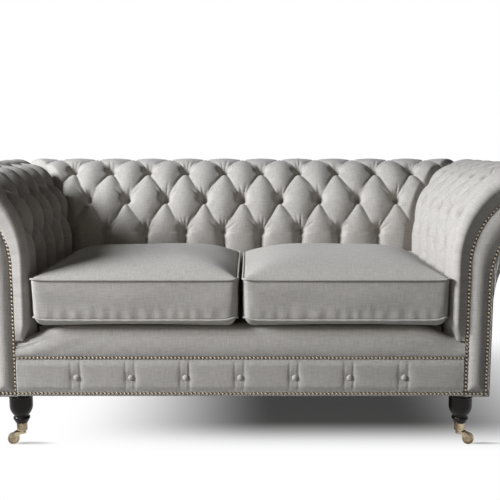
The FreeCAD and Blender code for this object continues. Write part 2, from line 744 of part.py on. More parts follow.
def foot_bolts():
    """Bolts that hold the feet to the corner blocks."""
    found = []
    for x, depth in FOOT_AXES:
        bolt = cylinder(x, depth, BOLT_Z, BOLT_R)
        found += [bolt, mirrored(bolt)]
    return Part.makeCompound(found)


def dust_cover():
    """Black cloth under the frame, cut out round the feet."""
    half = SEAT_HALF + RAIL_OUT + RAIL_THICK
    cloth = box((-half, half), (DUST_FRONT, RAIL_BACK + RAIL_THICK), (BASE_Z - DUST_THICK, BASE_Z))
    through = (BASE_Z - DUST_THICK - 1, BASE_Z + 1)
    reach = REAR_FOOT_TOP / 2 + DUST_CLEAR
    for side in (-1, 1):
        x, depth = REAR_FOOT
        ends = sorted((side * (x - reach), side * (x + reach)))
        front_hole = cylinder(side * FRONT_FOOT[0], FRONT_FOOT[1], through, FRONT_FOOT_R + DUST_CLEAR)
        rear_hole = box(ends, (depth - reach, depth + reach), through)
        cloth = cloth.cut([front_hole, rear_hole])
    return cloth


def seat_webbing():
    """Elastic straps over the seat frame: six front to back, on four that run side to side."""
    half = STRAP_WIDTH / 2
    lengthwise = (FACING_THICK + RAIL_THICK - STRAP_GRIP, RAIL_BACK + STRAP_GRIP)
    reach = SEAT_HALF + RAIL_OUT + STRAP_GRIP
    upper = (RAIL_TOP, RAIL_TOP + STRAP_THICK)
    lower = (RAIL_TOP - STRAP_THICK, RAIL_TOP)
    found = [box((x - half, x + half), lengthwise, upper) for x in STRAPS_X]
    found += [box((-reach, reach), (depth, depth + STRAP_WIDTH), lower) for depth in STRAPS_DEPTH]
    return Part.makeCompound(found)


def frame_pieces():
    """The hardwood frame's rails, boards and linings."""
    front = FACING_THICK + RAIL_THICK
    side = (SEAT_HALF + RAIL_OUT, SEAT_HALF + RAIL_OUT + RAIL_THICK)
    rail_z = (BASE_Z, RAIL_TOP)
    side_rail = box(side, (front, RAIL_BACK + RAIL_THICK), (BASE_Z, RAIL_TOP - STRAP_THICK))
    rear_rail = box((-side[0], side[0]), (RAIL_BACK, RAIL_BACK + RAIL_THICK), rail_z)
    pieces = {
        "front_seat_rail": box((-SEAT_HALF, SEAT_HALF), (FACING_THICK, front), rail_z),
        "rear_seat_rail": rear_rail,
        "right_side_rail": side_rail,
        "left_side_rail": mirrored(side_rail),
        "centre_cross_rail": box(
            (-CENTRE_RAIL_HALF, CENTRE_RAIL_HALF), (front, RAIL_BACK), (BASE_Z, CENTRE_RAIL_TOP)),
    }

    front_board = scroll_board(
        lambda out, z: on_arm(FACING_THICK, out, z),
        0.0, PANEL_THICK + PANEL_GAP, BASE_Z, Vector(0, RAIL_THICK, 0))
    rear_board = scroll_board(
        lambda out, z: on_arm(REAR_BOARD_DEPTH, out, z),
        LINING_THICK, BOARD_INSET, BASE_Z + CORNER_BLOCK_H, Vector(0, RAIL_THICK, 0)).cut(side_rail)
    top_out = (SEAT_HALF + HEAD[0] - TOP_RAIL_HALF, SEAT_HALF + HEAD[0] + TOP_RAIL_HALF)
    top_rail = box(top_out, (front, REAR_BOARD_DEPTH), TOP_RAIL_Z)
    tacking = box((SEAT_HALF + LINING_THICK, side[0]), (front, REAR_BOARD_DEPTH), TACKING_Z)
    along = Vector(0, PAST_MITRE, 0)
    arm_lining = lining(lambda out, z: on_arm(front, out, z), along).common(ARM_WEDGE)
    arm_panel = outside_panel(lambda out, z: on_arm(FACING_THICK, out, z), along).common(ARM_WEDGE)
    arm_facing = scroll_board(
        lambda out, z: on_arm(0.0, out, z), 0.0, 0.0, BASE_Z, Vector(0, FACING_THICK, 0))
    right = {
        "arm_front_board": front_board,
        "arm_rear_board": rear_board,
        "arm_top_rail": top_rail,
        "arm_tacking_rail": tacking,
        "arm_lining": arm_lining,
        "outside_arm_panel": arm_panel,
        "arm_facing": arm_facing,
    }
    for name, shape in right.items():
        pieces["right_" + name] = shape
        pieces["left_" + name] = mirrored(shape)

    uprights, top_rails, tackings = [], [], []
    half = UPRIGHT_THICK / 2
    for x in UPRIGHTS_X:
        board = scroll_board(
            lambda out, z: on_back(x - half, out, z),
            LINING_THICK, BOARD_INSET, CENTRE_RAIL_TOP, Vector(UPRIGHT_THICK, 0, 0))
        uprights.append(board.cut(rear_rail))
    for a, b in zip(UPRIGHTS_X, UPRIGHTS_X[1:]):
        span = (a + half, b - half)
        middle = BACK_FACE + HEAD[0]
        top_rails.append(box(span, (middle - TOP_RAIL_HALF, middle + TOP_RAIL_HALF), TOP_RAIL_Z))
        tackings.append(box(span, (BACK_FACE + LINING_THICK, RAIL_BACK), TACKING_Z))
    pieces["back_uprights"] = Part.makeCompound(uprights)
    pieces["back_top_rails"] = Part.makeCompound(top_rails)
    pieces["back_tacking_rails"] = Part.makeCompound(tackings)

    def from_left(out, z):
        return on_back(-PAST_MITRE, out, z)

    across = Vector(2 * PAST_MITRE, 0, 0)
    pieces["back_lining"] = lining(from_left, across).common(BACK_WEDGE)
    pieces["outside_back_panel"] = outside_panel(from_left, across).common(BACK_WEDGE)
    return pieces


def upholstery_pieces():
    """The buttoned pads, the seat, and the trim."""
    arm_pad = pad(on_arm, ARM_COLUMNS, True).common(ARM_WEDGE)
    arm_buttons = pad_buttons(on_arm, ARM_COLUMNS, BACK_FACE)
    right_nails = facing_nails()
    deck_depth = (FACING_THICK + RAIL_THICK, DECK_BACK)
    deck = box((-DECK_HALF, DECK_HALF), deck_depth, (RAIL_TOP + STRAP_THICK, DECK_TOP))
    return {
        "right_arm_pad": arm_pad,
        "left_arm_pad": mirrored(arm_pad),
        "back_pad": pad(on_back, BACK_COLUMNS, False).common(BACK_WEDGE),
        "right_arm_buttons": arm_buttons,
        "left_arm_buttons": mirrored(arm_buttons),
        "back_buttons": pad_buttons(on_back, BACK_COLUMNS, SEAT_HALF),
        "seat_deck": deck,
        "seat_border": border_pad(),
        "front_apron": apron_panel(),
        "apron_buttons": rail_buttons(),
        "rail_nails": rail_nails(),
        "right_facing_nails": right_nails,
        "left_facing_nails": mirrored(right_nails),
        "seat_webbing": seat_webbing(),
        "dust_cover": dust_cover(),
    }


def cushion_pieces():
    """Each loose cushion: a foam core in a piped cover."""
    core = cushion_body(COVER_THICK + CORE_GAP)
    cover = cushion_body(0.0).cut(cushion_body(COVER_THICK))
    welts = cushion_welts()
    pieces = {}
    for name, shape in (("cushion_cover", cover), ("cushion_core", core), ("cushion_piping", welts)):
        pieces["right_" + name] = shape
        pieces["left_" + name] = mirrored(shape)
    return pieces


def foot_pieces():
    """Feet, castors and the fasteners that hold them."""
    right = {
        "front_foot": front_foot(),
        "rear_foot": rear_foot(),
        "castor_cup": castor_frame(castor_cup()),
        "castor_horn": castor_frame(castor_horn()),
        "castor_axle": castor_frame(castor_axle()),
        "castor_wheel": castor_frame(castor_wheel()),
    }
    pieces = {"corner_blocks": corner_blocks(), "foot_bolts": foot_bolts(), "tee_nuts": tee_nuts()}
    for name, shape in right.items():
        pieces["right_" + name] = shape
        pieces["left_" + name] = mirrored(shape)
    return pieces


def main():
    os.makedirs("parts", exist_ok=True)
    pieces = {**frame_pieces(), **upholstery_pieces(), **cushion_pieces(), **foot_pieces()}
    for name, shape in pieces.items():
        print(f"{name}: {len(shape.Solids)} solids, {shape.Volume / 1000:.1f} cm3, valid {shape.isValid()}")
        shape.exportStep(f"parts/{name}.step")
    whole = Part.makeCompound(list(pieces.values())).BoundBox
    print(f"{len(pieces)} pieces, X {whole.XMin:.1f} to {whole.XMax:.1f}, "
          f"Y {whole.YMin:.1f} to {whole.YMax:.1f}, Z {whole.ZMin:.1f} to {whole.ZMax:.1f}")


main()
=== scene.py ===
# %% [markdown]
# A two-seat chesterfield sofa in grey linen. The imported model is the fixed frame: it says where
# every rail, pad, foot and castor is. This lesson dresses that frame, piece by piece, and nothing
# in it is moved or resized. Lengths are in metres, +Z is up and the front of the sofa faces -Y.

# %% Load the frame
import json
import math

import bpy
import numpy as np
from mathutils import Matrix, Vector


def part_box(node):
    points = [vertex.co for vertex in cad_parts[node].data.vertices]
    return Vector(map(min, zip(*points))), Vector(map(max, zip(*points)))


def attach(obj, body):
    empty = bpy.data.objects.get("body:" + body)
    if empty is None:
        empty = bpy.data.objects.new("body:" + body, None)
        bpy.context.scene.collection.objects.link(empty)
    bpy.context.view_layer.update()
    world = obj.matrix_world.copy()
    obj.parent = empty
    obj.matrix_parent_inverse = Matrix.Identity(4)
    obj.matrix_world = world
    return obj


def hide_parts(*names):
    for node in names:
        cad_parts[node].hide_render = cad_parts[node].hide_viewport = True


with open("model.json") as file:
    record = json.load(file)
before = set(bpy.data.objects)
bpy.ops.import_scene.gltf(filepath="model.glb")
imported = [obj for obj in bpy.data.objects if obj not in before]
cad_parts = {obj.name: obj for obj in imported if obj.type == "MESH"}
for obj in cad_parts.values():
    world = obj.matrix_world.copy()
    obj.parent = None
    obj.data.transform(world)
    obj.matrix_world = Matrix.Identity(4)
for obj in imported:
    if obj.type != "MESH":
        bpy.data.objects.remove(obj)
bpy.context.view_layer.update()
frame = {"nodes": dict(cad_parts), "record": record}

# %% [markdown]
# The whole sofa is drawn round one side profile, which the arms and the back share: it stands
# upright behind the seat, leans out, goes over the shoulder and rolls round the head. The places
# that the frame can tell are measured from it, so the dress fits the solids. The radii of the
# profile are written out here, because a mesh doesn't remember them.

# %% Sizes
front_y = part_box("right_arm_facing")[0].y
seat_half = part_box("right_arm_facing")[0].x
back_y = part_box("back_lining")[0].y
base_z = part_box("front_seat_rail")[0].z
rail_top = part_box("front_seat_rail")[1].z
pad_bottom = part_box("back_pad")[0].z
deck_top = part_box("seat_deck")[1].z

ARM_BASE = 0.071
LEAN_START = 0.515
LEAN_R = 0.225
LEAN_TURN = 43.0
SHOULDER_R = 0.130
SHOULDER_TURN = 90.0
HEAD_R = 0.075
FLARE_START = 0.470
FLARE_R = 0.220
PAD_END_TURN = 300.0
FACING_THICK = 0.014
SIDES = (("left", -1), ("right", 1))

back_depth = back_y - front_y
print(f"front at Y {front_y:.4f}, arms {seat_half:.3f} out, back {back_depth:.3f} deep")

# %% [markdown]
# A few small tools keep the steps short. Operators act on all that is selected, so each step first
# chooses the one piece it works on. A soft piece is laid out as a grid whose points a formula moves:
# the grid keeps rows and columns in order, and its map in metres lets the weave follow the cloth.

# %% Tools
def set_all(thing, settings):
    for name, value in settings.items():
        setattr(thing, name, value)


def choose(piece):
    bpy.ops.object.select_all(action="DESELECT")
    piece.select_set(True)
    bpy.context.view_layer.objects.active = piece


def begin(add, name, **settings):
    """Adds a primitive with everything else deselected, and names it."""
    bpy.ops.object.select_all(action="DESELECT")
    add(**settings)
    piece = bpy.context.object
    piece.name = name
    piece.data.name = name
    return piece


def open_mesh(piece, action="SELECT"):
    choose(piece)
    bpy.ops.object.mode_set(mode="EDIT")
    bpy.ops.mesh.select_all(action=action)


def close_mesh():
    bpy.ops.object.mode_set(mode="OBJECT")


def open_faces(piece, wanted):
    """Opens the mesh with only the wanted faces selected."""
    open_mesh(piece, "DESELECT")
    close_mesh()
    for face in piece.data.polygons:
        face.select = wanted(face)
    bpy.ops.object.mode_set(mode="EDIT")


def in_scene(name, data):
    piece = bpy.data.objects.new(name, data)
    bpy.context.scene.collection.objects.link(piece)
    return piece


def from_faces(name, points, faces):
    """A new piece from its points and the corners of its faces."""
    mesh = bpy.data.meshes.new(name)
    mesh.from_pydata(points.tolist(), [], faces)
    return in_scene(name, mesh)


def points_of(piece):
    flat = np.empty(len(piece.data.vertices) * 3)
    piece.data.vertices.foreach_get("co", flat)
    return flat.reshape(-1, 3)


def move_points(piece, points):
    piece.data.vertices.foreach_set("co", np.ascontiguousarray(points, dtype=float).ravel())
    piece.data.update()


def lay_weave(piece, weave):
    """Writes a weave map, one pair in metres for each point, to the piece's UV map."""
    layer = piece.data.uv_layers.active or piece.data.uv_layers.new(name="weave")
    corner = np.empty(len(piece.data.loops), dtype=int)
    piece.data.loops.foreach_get("vertex_index", corner)
    layer.data.foreach_set("uv", np.ascontiguousarray(weave[corner], dtype=float).ravel())


def cloth_grid(name, places, weave):
    """A grid laid at places (rows by columns by 3), with its weave map (rows by columns by 2)."""
    rows, columns = places.shape[:2]
    piece = begin(
        bpy.ops.mesh.primitive_grid_add, name, x_subdivisions=columns - 1, y_subdivisions=rows - 1, size=2.0
    )
    flat = points_of(piece).round(5)
    order = np.lexsort((flat[:, 0], flat[:, 1]))
    laid = np.empty_like(flat)
    laid[order] = places.reshape(-1, 3)
    mapped = np.empty((len(flat), 2))
    mapped[order] = weave.reshape(-1, 2)
    move_points(piece, laid)
    lay_weave(piece, mapped)
    return piece


def weld(piece, gap=0.0002):
    """Closes seams and poles, then turns all faces outwards."""
    open_mesh(piece)
    bpy.ops.mesh.remove_doubles(threshold=gap)
    bpy.ops.mesh.normals_make_consistent(inside=False)
    close_mesh()


def close_ends(piece):
    """Fills what is still open, such as the flat end of a band."""
    open_mesh(piece, "DESELECT")
    bpy.ops.mesh.select_non_manifold()
    bpy.ops.mesh.fill_holes(sides=0)
    bpy.ops.mesh.select_all(action="SELECT")
    bpy.ops.mesh.normals_make_consistent(inside=False)
    close_mesh()


def slice_off(piece, point, outward):
    """Cuts the piece by a plane, drops what is outside it and closes the cut."""
    open_mesh(piece)
    bpy.ops.mesh.bisect(plane_co=point, plane_no=outward, clear_outer=True, use_fill=True)
    close_mesh()


def apply(piece, kind, **settings):
    choose(piece)
    modifier = piece.modifiers.new(kind.lower(), kind)
    set_all(modifier, settings)
    bpy.ops.object.modifier_apply(modifier=modifier.name)


def dress(piece, *nodes, slot="linen", body="sofa", smooth=60.0):
    """Gives a finished piece its slot's material, its body and the nodes it stands for."""
    choose(piece)
    bpy.ops.object.shade_smooth_by_angle(angle=math.radians(smooth))
    piece.data.materials.clear()
    piece.data.materials.append(slot_materials[slot])
    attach(piece, body)
    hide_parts(*nodes)
    points = points_of(piece)
    low, high = points.min(axis=0).round(3).tolist(), points.max(axis=0).round(3).tolist()
    print(f"{piece.name}: {len(piece.data.polygons)} faces on {body}, from {low} to {high}")
    return piece


def ease(value):
    """A smooth step from 0 to 1."""
    value = np.clip(value, 0.0, 1.0)
    return value * value * (3.0 - 2.0 * value)


def chance(a, b, c=0.0):
    """A fixed number from 0 to 1 for each pair of whole numbers, in place of a random draw."""
    return np.modf(np.abs(np.sin(a * 127.1 + b * 311.7 + c * 74.7) * 43758.5453))[0]


def ripple(x, y, seed):
    """A smooth uneven value from -1 to 1."""
    waves = np.sin(1.3 * x + 1.7 * y + seed) + np.sin(2.1 * x - 1.1 * y + 2.0 * seed)
    return (waves + np.sin(0.7 * x + 2.9 * y + 3.0 * seed)) / 3.0

print("tools ready")

# %% [markdown]
# Materials are built from nodes. One function turns the sRGB colours that a person would pick into
# the linear ones that the shader wants, and one adds a node with its settings and links. Whatever
# is the same all over a surface is set on the shader itself.

# %% Material tools
def paint(hex_colour):
    parts = [int(hex_colour[i : i + 2], 16) / 255.0 for i in (1, 3, 5)]
    linear = [part / 12.92 if part <= 0.04045 else ((part + 0.055) / 1.055) ** 2.4 for part in parts]
    return (*linear, 1.0)


def add(tree, kind, inputs=None, stops=(), **settings):
    """Adds a node, or takes one that is there, and sets it. An input may be a value, a socket or a node."""
    new = tree.nodes.new(kind) if isinstance(kind, str) else kind
    set_all(new, settings)
    for name, value in (inputs or {}).items():
        if isinstance(value, bpy.types.Node):
            value = value.outputs[0]
        if isinstance(value, bpy.types.NodeSocket):
            tree.links.new(value, new.inputs[name])
        else:
            new.inputs[name].default_value = value
    if stops:
        while len(new.color_ramp.elements) < len(stops):
            new.color_ramp.elements.new(0.5)
        for element, (place, colour) in zip(new.color_ramp.elements, stops):
            element.position = place
            element.color = paint(colour)
    return new


def new_material(name, **constants):
    """A material with its shader's constants set, and the node tree to add to."""
    material = bpy.data.materials.new(name)
    material.use_nodes = True
    tree = material.node_tree
    shader = tree.nodes["Principled BSDF"]
    for socket, value in constants.items():
        shader.inputs[socket.replace("_", " ")].default_value = value
    return material, tree, shader


print("material tools ready")

# %% [markdown]
# The cover is a linen weave in a warm light grey: matt, with threads of uneven thickness, so that
# thicker places (slubs) run as short streaks along both thread directions. A plain weave is drawn
# from two sets of waves, one over the other in a chequer. Linen threads lie about 0.9 mm apart,
# which is too fine to show here, so they are drawn 1.8 mm apart.

# %% Linen
THREAD = 0.0018
THREAD_TONE = 0.16
SLUB_LONG = 0.030
SLUB_THICK = 0.0032
SLUB_RELIEF = 0.8
WEAVE_DEEP = 0.0005


def woven(name, light, middle, dark, thread, slub_depth, bump, **constants):
    material, tree, shader = new_material(name, Roughness=0.92, Specular_IOR_Level=0.22, **constants)
    weave = add(tree, "ShaderNodeTexCoord").outputs["UV"]
    wave = {"Vector": weave, "Scale": 2 * math.pi / 20 / thread, "Distortion": 0.6, "Detail": 1.0}
    warp, weft = (add(tree, "ShaderNodeTexWave", wave, bands_direction=way).outputs["Fac"] for way in "XY")
    over = add(tree, "ShaderNodeTexChecker", {"Vector": weave, "Scale": 1 / thread}).outputs["Fac"]
    threads = add(tree, "ShaderNodeMix", {0: over, 2: warp, 3: weft})
    slubs = []
    for long, thick in ((SLUB_LONG, SLUB_THICK), (SLUB_THICK, SLUB_LONG)):
        scaled = add(tree, "ShaderNodeMapping", {"Vector": weave, "Scale": (1 / long, 1 / thick, 1.0)})
        streak = {"Vector": scaled, "Scale": 1.0, "Detail": 3.0, "Roughness": 0.65}
        slubs.append(add(tree, "ShaderNodeTexNoise", streak))
    streaks = add(tree, "ShaderNodeMath", {0: slubs[0], 1: slubs[1]}, operation="ADD")
    slub_tone = {0: streaks, 1: 0.5 * slub_depth, 2: 0.5 - 0.5 * slub_depth}
    uneven = add(tree, "ShaderNodeMath", slub_tone, operation="MULTIPLY_ADD")
    tone = add(tree, "ShaderNodeMath", {0: threads, 1: THREAD_TONE, 2: uneven}, operation="MULTIPLY_ADD")
    stops = ((0.30, dark), (0.58, middle), (0.86, light))
    colour = add(tree, "ShaderNodeValToRGB", {"Fac": tone}, stops)
    height = add(tree, "ShaderNodeMath", {0: streaks, 1: SLUB_RELIEF, 2: threads}, operation="MULTIPLY_ADD")
    relief = add(tree, "ShaderNodeBump", {"Height": height, "Strength": bump, "Distance": WEAVE_DEEP})
    add(tree, shader, {"Base Color": colour, "Normal": relief})
    return material


soft_sheen = {"Sheen_Weight": 0.12, "Sheen_Roughness": 0.5}
linen = woven("grey_linen", "#cac7c1", "#aca8a1", "#89847d", THREAD, 0.75, 0.30, **soft_sheen)
platform_cloth = woven("platform_cloth", "#8f8a80", "#7a756c", "#67625a", 0.0014, 0.8, 0.25)
black_cloth = woven("black_dust_cloth", "#262627", "#1b1b1c", "#121213", 0.0012, 0.8, 0.2)
strap_weave = woven("woven_elastic_strap", "#4a453d", "#34302b", "#23201d", 0.0026, 0.8, 0.4)
print("woven materials ready")

# %% [markdown]
# The feet are beech stained to a near-black espresso under gloss lacquer: the grain only just shows,
# and the lacquer gives small sharp lights. The frame inside is the same kind of timber left bare,
# and the linings are bent plywood. Grain is noise stretched along the piece.

# %% Woods
GRAIN_LONG = 0.060
GRAIN_WIDE = 0.0025
GRAIN_DEEP = 0.0004


def timber(name, light, dark, long_axis, **constants):
    material, tree, shader = new_material(name, **constants)
    place = add(tree, "ShaderNodeTexCoord").outputs["Object"]
    stretch = [1 / GRAIN_WIDE] * 3
    stretch[long_axis] = 1 / GRAIN_LONG
    scaled = add(tree, "ShaderNodeMapping", {"Vector": place, "Scale": stretch})
    fibre = {"Vector": scaled, "Scale": 1.0, "Detail": 4.0, "Distortion": 0.4}
    grain = add(tree, "ShaderNodeTexNoise", fibre)
    colour = add(tree, "ShaderNodeValToRGB", {"Fac": grain}, ((0.35, dark), (0.70, light)))
    relief = add(tree, "ShaderNodeBump", {"Height": grain, "Strength": 0.08, "Distance": GRAIN_DEEP})
    add(tree, shader, {"Base Color": colour, "Normal": relief})
    return material


lacquer = {"Roughness": 0.30, "Specular_IOR_Level": 0.12, "Coat_Weight": 0.16, "Coat_Roughness": 0.06}
lacquered_beech = timber("espresso_lacquered_beech", "#1f120f", "#0e0706", 2, **lacquer)
bare_hardwood = timber("bare_planed_hardwood", "#c79b68", "#a67a48", 0, Roughness=0.62)
bent_plywood = timber("bent_plywood", "#d3b184", "#b78f5e", 0, Roughness=0.58)
print("woods ready")

# %% [markdown]
# The castors are cast brass, gone brown with age and rubbed bright where hands and floors touch it.
# The nails are antiqued, dark at the rim where the finish stays, and that near-black rim is also
# painted shade between the heads; the bright crown is a painted highlight. The crown is found from
# an attribute that each nail carries, 0 at its rim and 1 on top.

# %% Metals and foam
HIGHLIGHT_CLOUD = 0.35
FOAM_CELL = 0.0015


def metal(name, light, dark, patch, roughness, rim=None):
    material, tree, shader = new_material(name, Metallic=1.0)
    place = add(tree, "ShaderNodeTexCoord").outputs["Object"]
    cloud = add(tree, "ShaderNodeTexNoise", {"Vector": place, "Scale": 1 / patch, "Detail": 5.0})
    tone, stops = cloud, ((0.34, dark), (0.62, light))
    # A rim attribute darkens the rim (antiquing and painted shade) and lights the crown (painted highlight)
    if rim:
        crown = add(tree, "ShaderNodeAttribute", attribute_name=rim).outputs["Fac"]
        tone = add(tree, "ShaderNodeMath", {0: cloud, 1: HIGHLIGHT_CLOUD, 2: crown}, operation="MULTIPLY_ADD")
        stops = ((0.32, dark), (0.95, light))
    colour = add(tree, "ShaderNodeValToRGB", {"Fac": tone}, stops)
    worn = {"Value": cloud, "To Min": roughness + 0.12, "To Max": roughness - 0.08}
    dull = add(tree, "ShaderNodeMapRange", worn)
    add(tree, shader, {"Base Color": colour, "Roughness": dull})
    return material


castor_brass = metal("antiqued_cast_brass", "#b9ab92", "#6a5842", 0.030, 0.17)
# Nail brass: a near-black rim of antiquing and painted shade, and a crown of painted highlight
nail_brass = metal("nail_brass_painted_highlight_and_shade", "#a89c8a", "#0b0806", 0.004, 0.34, rim="crown")
zinc_steel = metal("zinc_plated_steel", "#b9bcbe", "#8f9396", 0.006, 0.34)


def open_cell_foam(name):
    material, tree, shader = new_material(name, Roughness=0.95)
    place = add(tree, "ShaderNodeTexCoord").outputs["Object"]
    cells = add(tree, "ShaderNodeTexVoronoi", {"Vector": place, "Scale": 1 / FOAM_CELL})
    colour = add(tree, "ShaderNodeValToRGB", {"Fac": cells}, ((0.1, "#cdbf95"), (0.6, "#efe4c2")))
    add(tree, shader, {"Base Color": colour})
    return material


foam = open_cell_foam("open_cell_foam")
slot_materials = {
    "linen": linen,
    "platform_cloth": platform_cloth,
    "foam": foam,
    "webbing": strap_weave,
    "black_cloth": black_cloth,
    "frame_wood": bare_hardwood,
    "bent_ply": bent_plywood,
    "dark_wood": lacquered_beech,
    "castor_brass": castor_brass,
    "nail_brass": nail_brass,
    "steel": zinc_steel,
}
for row in frame["record"]["subparts"]:
    node = frame["nodes"][row["node"]]
    node.data.materials.clear()
    node.data.materials.append(slot_materials[row["material_slot"]])
print("materials on", len(frame["nodes"]), "nodes")

# %% [markdown]
# The profile as a path: a length s runs up from the foot of the pad, over the shoulder and round
# the head, measured on a line that stands 50 mm off the frame, which is about where the cloth lies.

# %% Profile
PATH_RISE = 0.050
upright_length = LEAN_START - pad_bottom
knot_turns = np.array([0.0, LEAN_TURN, SHOULDER_TURN, PAD_END_TURN])
knot_radii = np.array([LEAN_R, SHOULDER_R, HEAD_R]) + PATH_RISE
knot_runs = np.radians(np.diff(knot_turns)) * knot_radii
knot_lengths = upright_length + np.concatenate([[0.0], np.cumsum(knot_runs)])
path_end = float(knot_lengths[-1])

lean = math.radians(LEAN_TURN)
shoulder_out = LEAN_R - (LEAN_R - SHOULDER_R) * math.cos(lean)
shoulder_z = LEAN_START + (LEAN_R - SHOULDER_R) * math.sin(lean)
head_z = shoulder_z + SHOULDER_R - HEAD_R


def turn_at(s):
    return np.interp(s, knot_lengths, knot_turns)


def length_at(turn):
    return np.interp(turn, knot_turns, knot_lengths)


def arc(turn, rise):
    """(out, z) of points at a turn of the profile in degrees, standing rise off the frame."""
    leaning, over = turn <= LEAN_TURN, turn <= SHOULDER_TURN
    reach = np.where(leaning, LEAN_R, np.where(over, SHOULDER_R, HEAD_R)) + rise
    angle = np.radians(turn)
    out = np.where(leaning, LEAN_R, shoulder_out) - reach * np.cos(angle)
    z = np.where(leaning, LEAN_START, np.where(over, shoulder_z, head_z)) + reach * np.sin(angle)
    return out, z


def profile(s, rise):
    """(out, z) of points at a path length, standing rise off the frame."""
    out, z = arc(turn_at(s), rise)
    upright = s <= upright_length
    return np.where(upright, -rise, out), np.where(upright, pad_bottom + s, z)


print(f"profile path is {path_end:.3f} m long")

# %% [markdown]
# Deep buttoning: the cloth is pulled down to the frame at each button and stands up in a pillow
# between four of them. Folds run along the diagonals. The upper pillow laps over the lower one, so
# a fold is steep on its upper side and gentle on its lower side, sharp beside the button above and
# fading on its way down. Short pleats fan out above each button, and below the last row each pillow
# runs on as an upright channel. All of that is one height over the path, as a formula of the rows
# and columns, because a sculpted stroke couldn't be repeated sixty times with the same care.

# %% Buttoning
ROW_TURNS = np.array([100.0, 65.0, 31.0, 6.5])
row_lengths = length_at(ROW_TURNS)
row_step = float(np.mean(-np.diff(row_lengths)))

# Heights in metres over the frame along the path: of the buttons, and of the pillows' crowns
UPRIGHT_TURN = 20.0
HEIGHT_TURNS = [-UPRIGHT_TURN, 0, 6.5, 31, 65, 100, 124, 153, 182, 211, 240, 270, 300]
BUTTON_HEIGHTS = [
    0.026, 0.018, 0.012, 0.013, 0.016, 0.028, 0.034, 0.033, 0.025, 0.017, 0.0115, 0.0085, 0.0055
]
CROWN_HEIGHTS = [
    0.046, 0.048, 0.050, 0.062, 0.070, 0.080, 0.064, 0.044, 0.030, 0.020, 0.013, 0.010, 0.007
]
BUTTONS_SPREAD, CROWNS_SPREAD = 5.0, 6.0
STRAY_ALONG, STRAY_UP = 0.004, 0.003

FUNNEL_SIDE = 0.0145
FUNNEL_UP = 0.022
FUNNEL_DOWN = 0.012
FUNNEL_POWER = 1.9
FUNNEL_FLOOR = 0.001
FOLD_STEEP = 0.0018
FOLD_GENTLE = 0.0085
FOLD_REACH, FOLD_POWER = 0.64, 0.8
FOLD_END, FOLD_END_REACH = 0.45, 0.22
FAN_SPREAD = math.radians(50.0)
FAN_SHARES = (-1.0, -0.58, -0.2, 0.18, 0.55, 0.95)
FAN_STRAY = 0.22
FAN_LONG, FAN_LEAST, FAN_MORE = 0.066, 0.55, 0.6
FAN_START, FAN_RISE = 0.005, 0.012
FAN_DEEP = 0.0075
FAN_THIN = 0.0026
FAN_BELOW = ((-0.42, 0.034), (0.36, 0.030))
FAN_BELOW_DEEP = 0.7
CHANNEL_WIDE, CHANNEL_POWER = 0.0115, 1.15
CHANNEL_RISE = 0.025
CHANNEL_DEEP, CHANNEL_FADE, CHANNEL_LONG = 0.62, 0.8, 0.2
CREST_SAG = 0.06
CREST_FOLD = 0.15
CREST_FUNNEL = 0.55
CREST_CHANNEL = 0.16
SUNK_MOST = 0.95
FULL_PILLOW = 0.03


def row_at(s):
    """The row number at a path length: 0 on the crest, 3 just above the seat, and on past both."""
    rows = np.interp(s, row_lengths[::-1], [3.0, 2.0, 1.0, 0.0])
    rows = np.where(s < row_lengths[3], 3.0 + (row_lengths[3] - s) / row_step, rows)
    return np.where(s > row_lengths[0], -(s - row_lengths[0]) / row_step, rows)


def smoothed(turn, heights, spread):
    around = [np.interp(turn + shift * spread, HEIGHT_TURNS, heights) for shift in np.linspace(-1, 1, 9)]
    return np.mean(around, axis=0)


def dome(share):
    """1 in the middle of a cell and 0 at its edges."""
    return 1.0 - (2.0 * np.abs(share - np.round(share) - np.sign(share - np.round(share)) * 0.5)) ** 2.0


def buttons_near(column, s, pitch):
    """For each row, the nearest button: offsets along and up from it, its column and its row."""
    for row in range(4):
        shift = 0.5 * (row % 2)
        nearest = np.round(column - shift) + shift
        yield (column - nearest) * pitch, s - row_lengths[row], nearest, row


def fold(across, down):
    """Depth of a fold: across is the distance from it, negative on its upper side; down runs 0 to 1."""
    side = np.where(across < 0, FOLD_STEEP, FOLD_GENTLE)
    upper = np.clip(1.0 - down / FOLD_REACH, 0.0, 1.0) ** FOLD_POWER
    lower = FOLD_END * np.clip(1.0 - (1.0 - down) / FOLD_END_REACH, 0.0, 1.0)
    return (upper + lower) * np.exp(-np.abs(across) / side)


def fan(along, up, column, row, seed):
    """Pleats that spread above a button, and two short ones below it."""
    radius = np.hypot(along, up)
    angle = np.arctan2(along, up)
    leans = [(FAN_SPREAD * share, FAN_LONG, 1.0) for share in FAN_SHARES]
    leans += [(math.pi + lean_at, long, FAN_BELOW_DEEP) for lean_at, long in FAN_BELOW]
    depth = np.zeros_like(along)
    for index, (lean_at, long, strength) in enumerate(leans):
        swing = angle - lean_at - FAN_STRAY * (chance(column, row, seed + index) - 0.5)
        reach = long * (FAN_LEAST + FAN_MORE * chance(column, row, seed + index + 20))
        fade = np.clip((radius - FAN_START) / FAN_RISE, 0.0, 1.0) * np.clip(1.0 - radius / reach, 0.0, 1.0)
        thin = np.exp(-((radius * np.sin(swing) / FAN_THIN) ** 2))
        depth += strength * np.where(np.cos(swing) > 0, fade * thin, 0.0)
    return FAN_DEEP * depth


def channel(column, away, pitch, deep, sag):
    """Upright channels past the end rows: away is the distance past the row."""
    share = column - np.round(column)
    groove = deep * np.exp(-((np.abs(share) * pitch / CHANNEL_WIDE) ** CHANNEL_POWER))
    return sag * (1.0 - dome(column)) + groove * ease(away / CHANNEL_RISE)


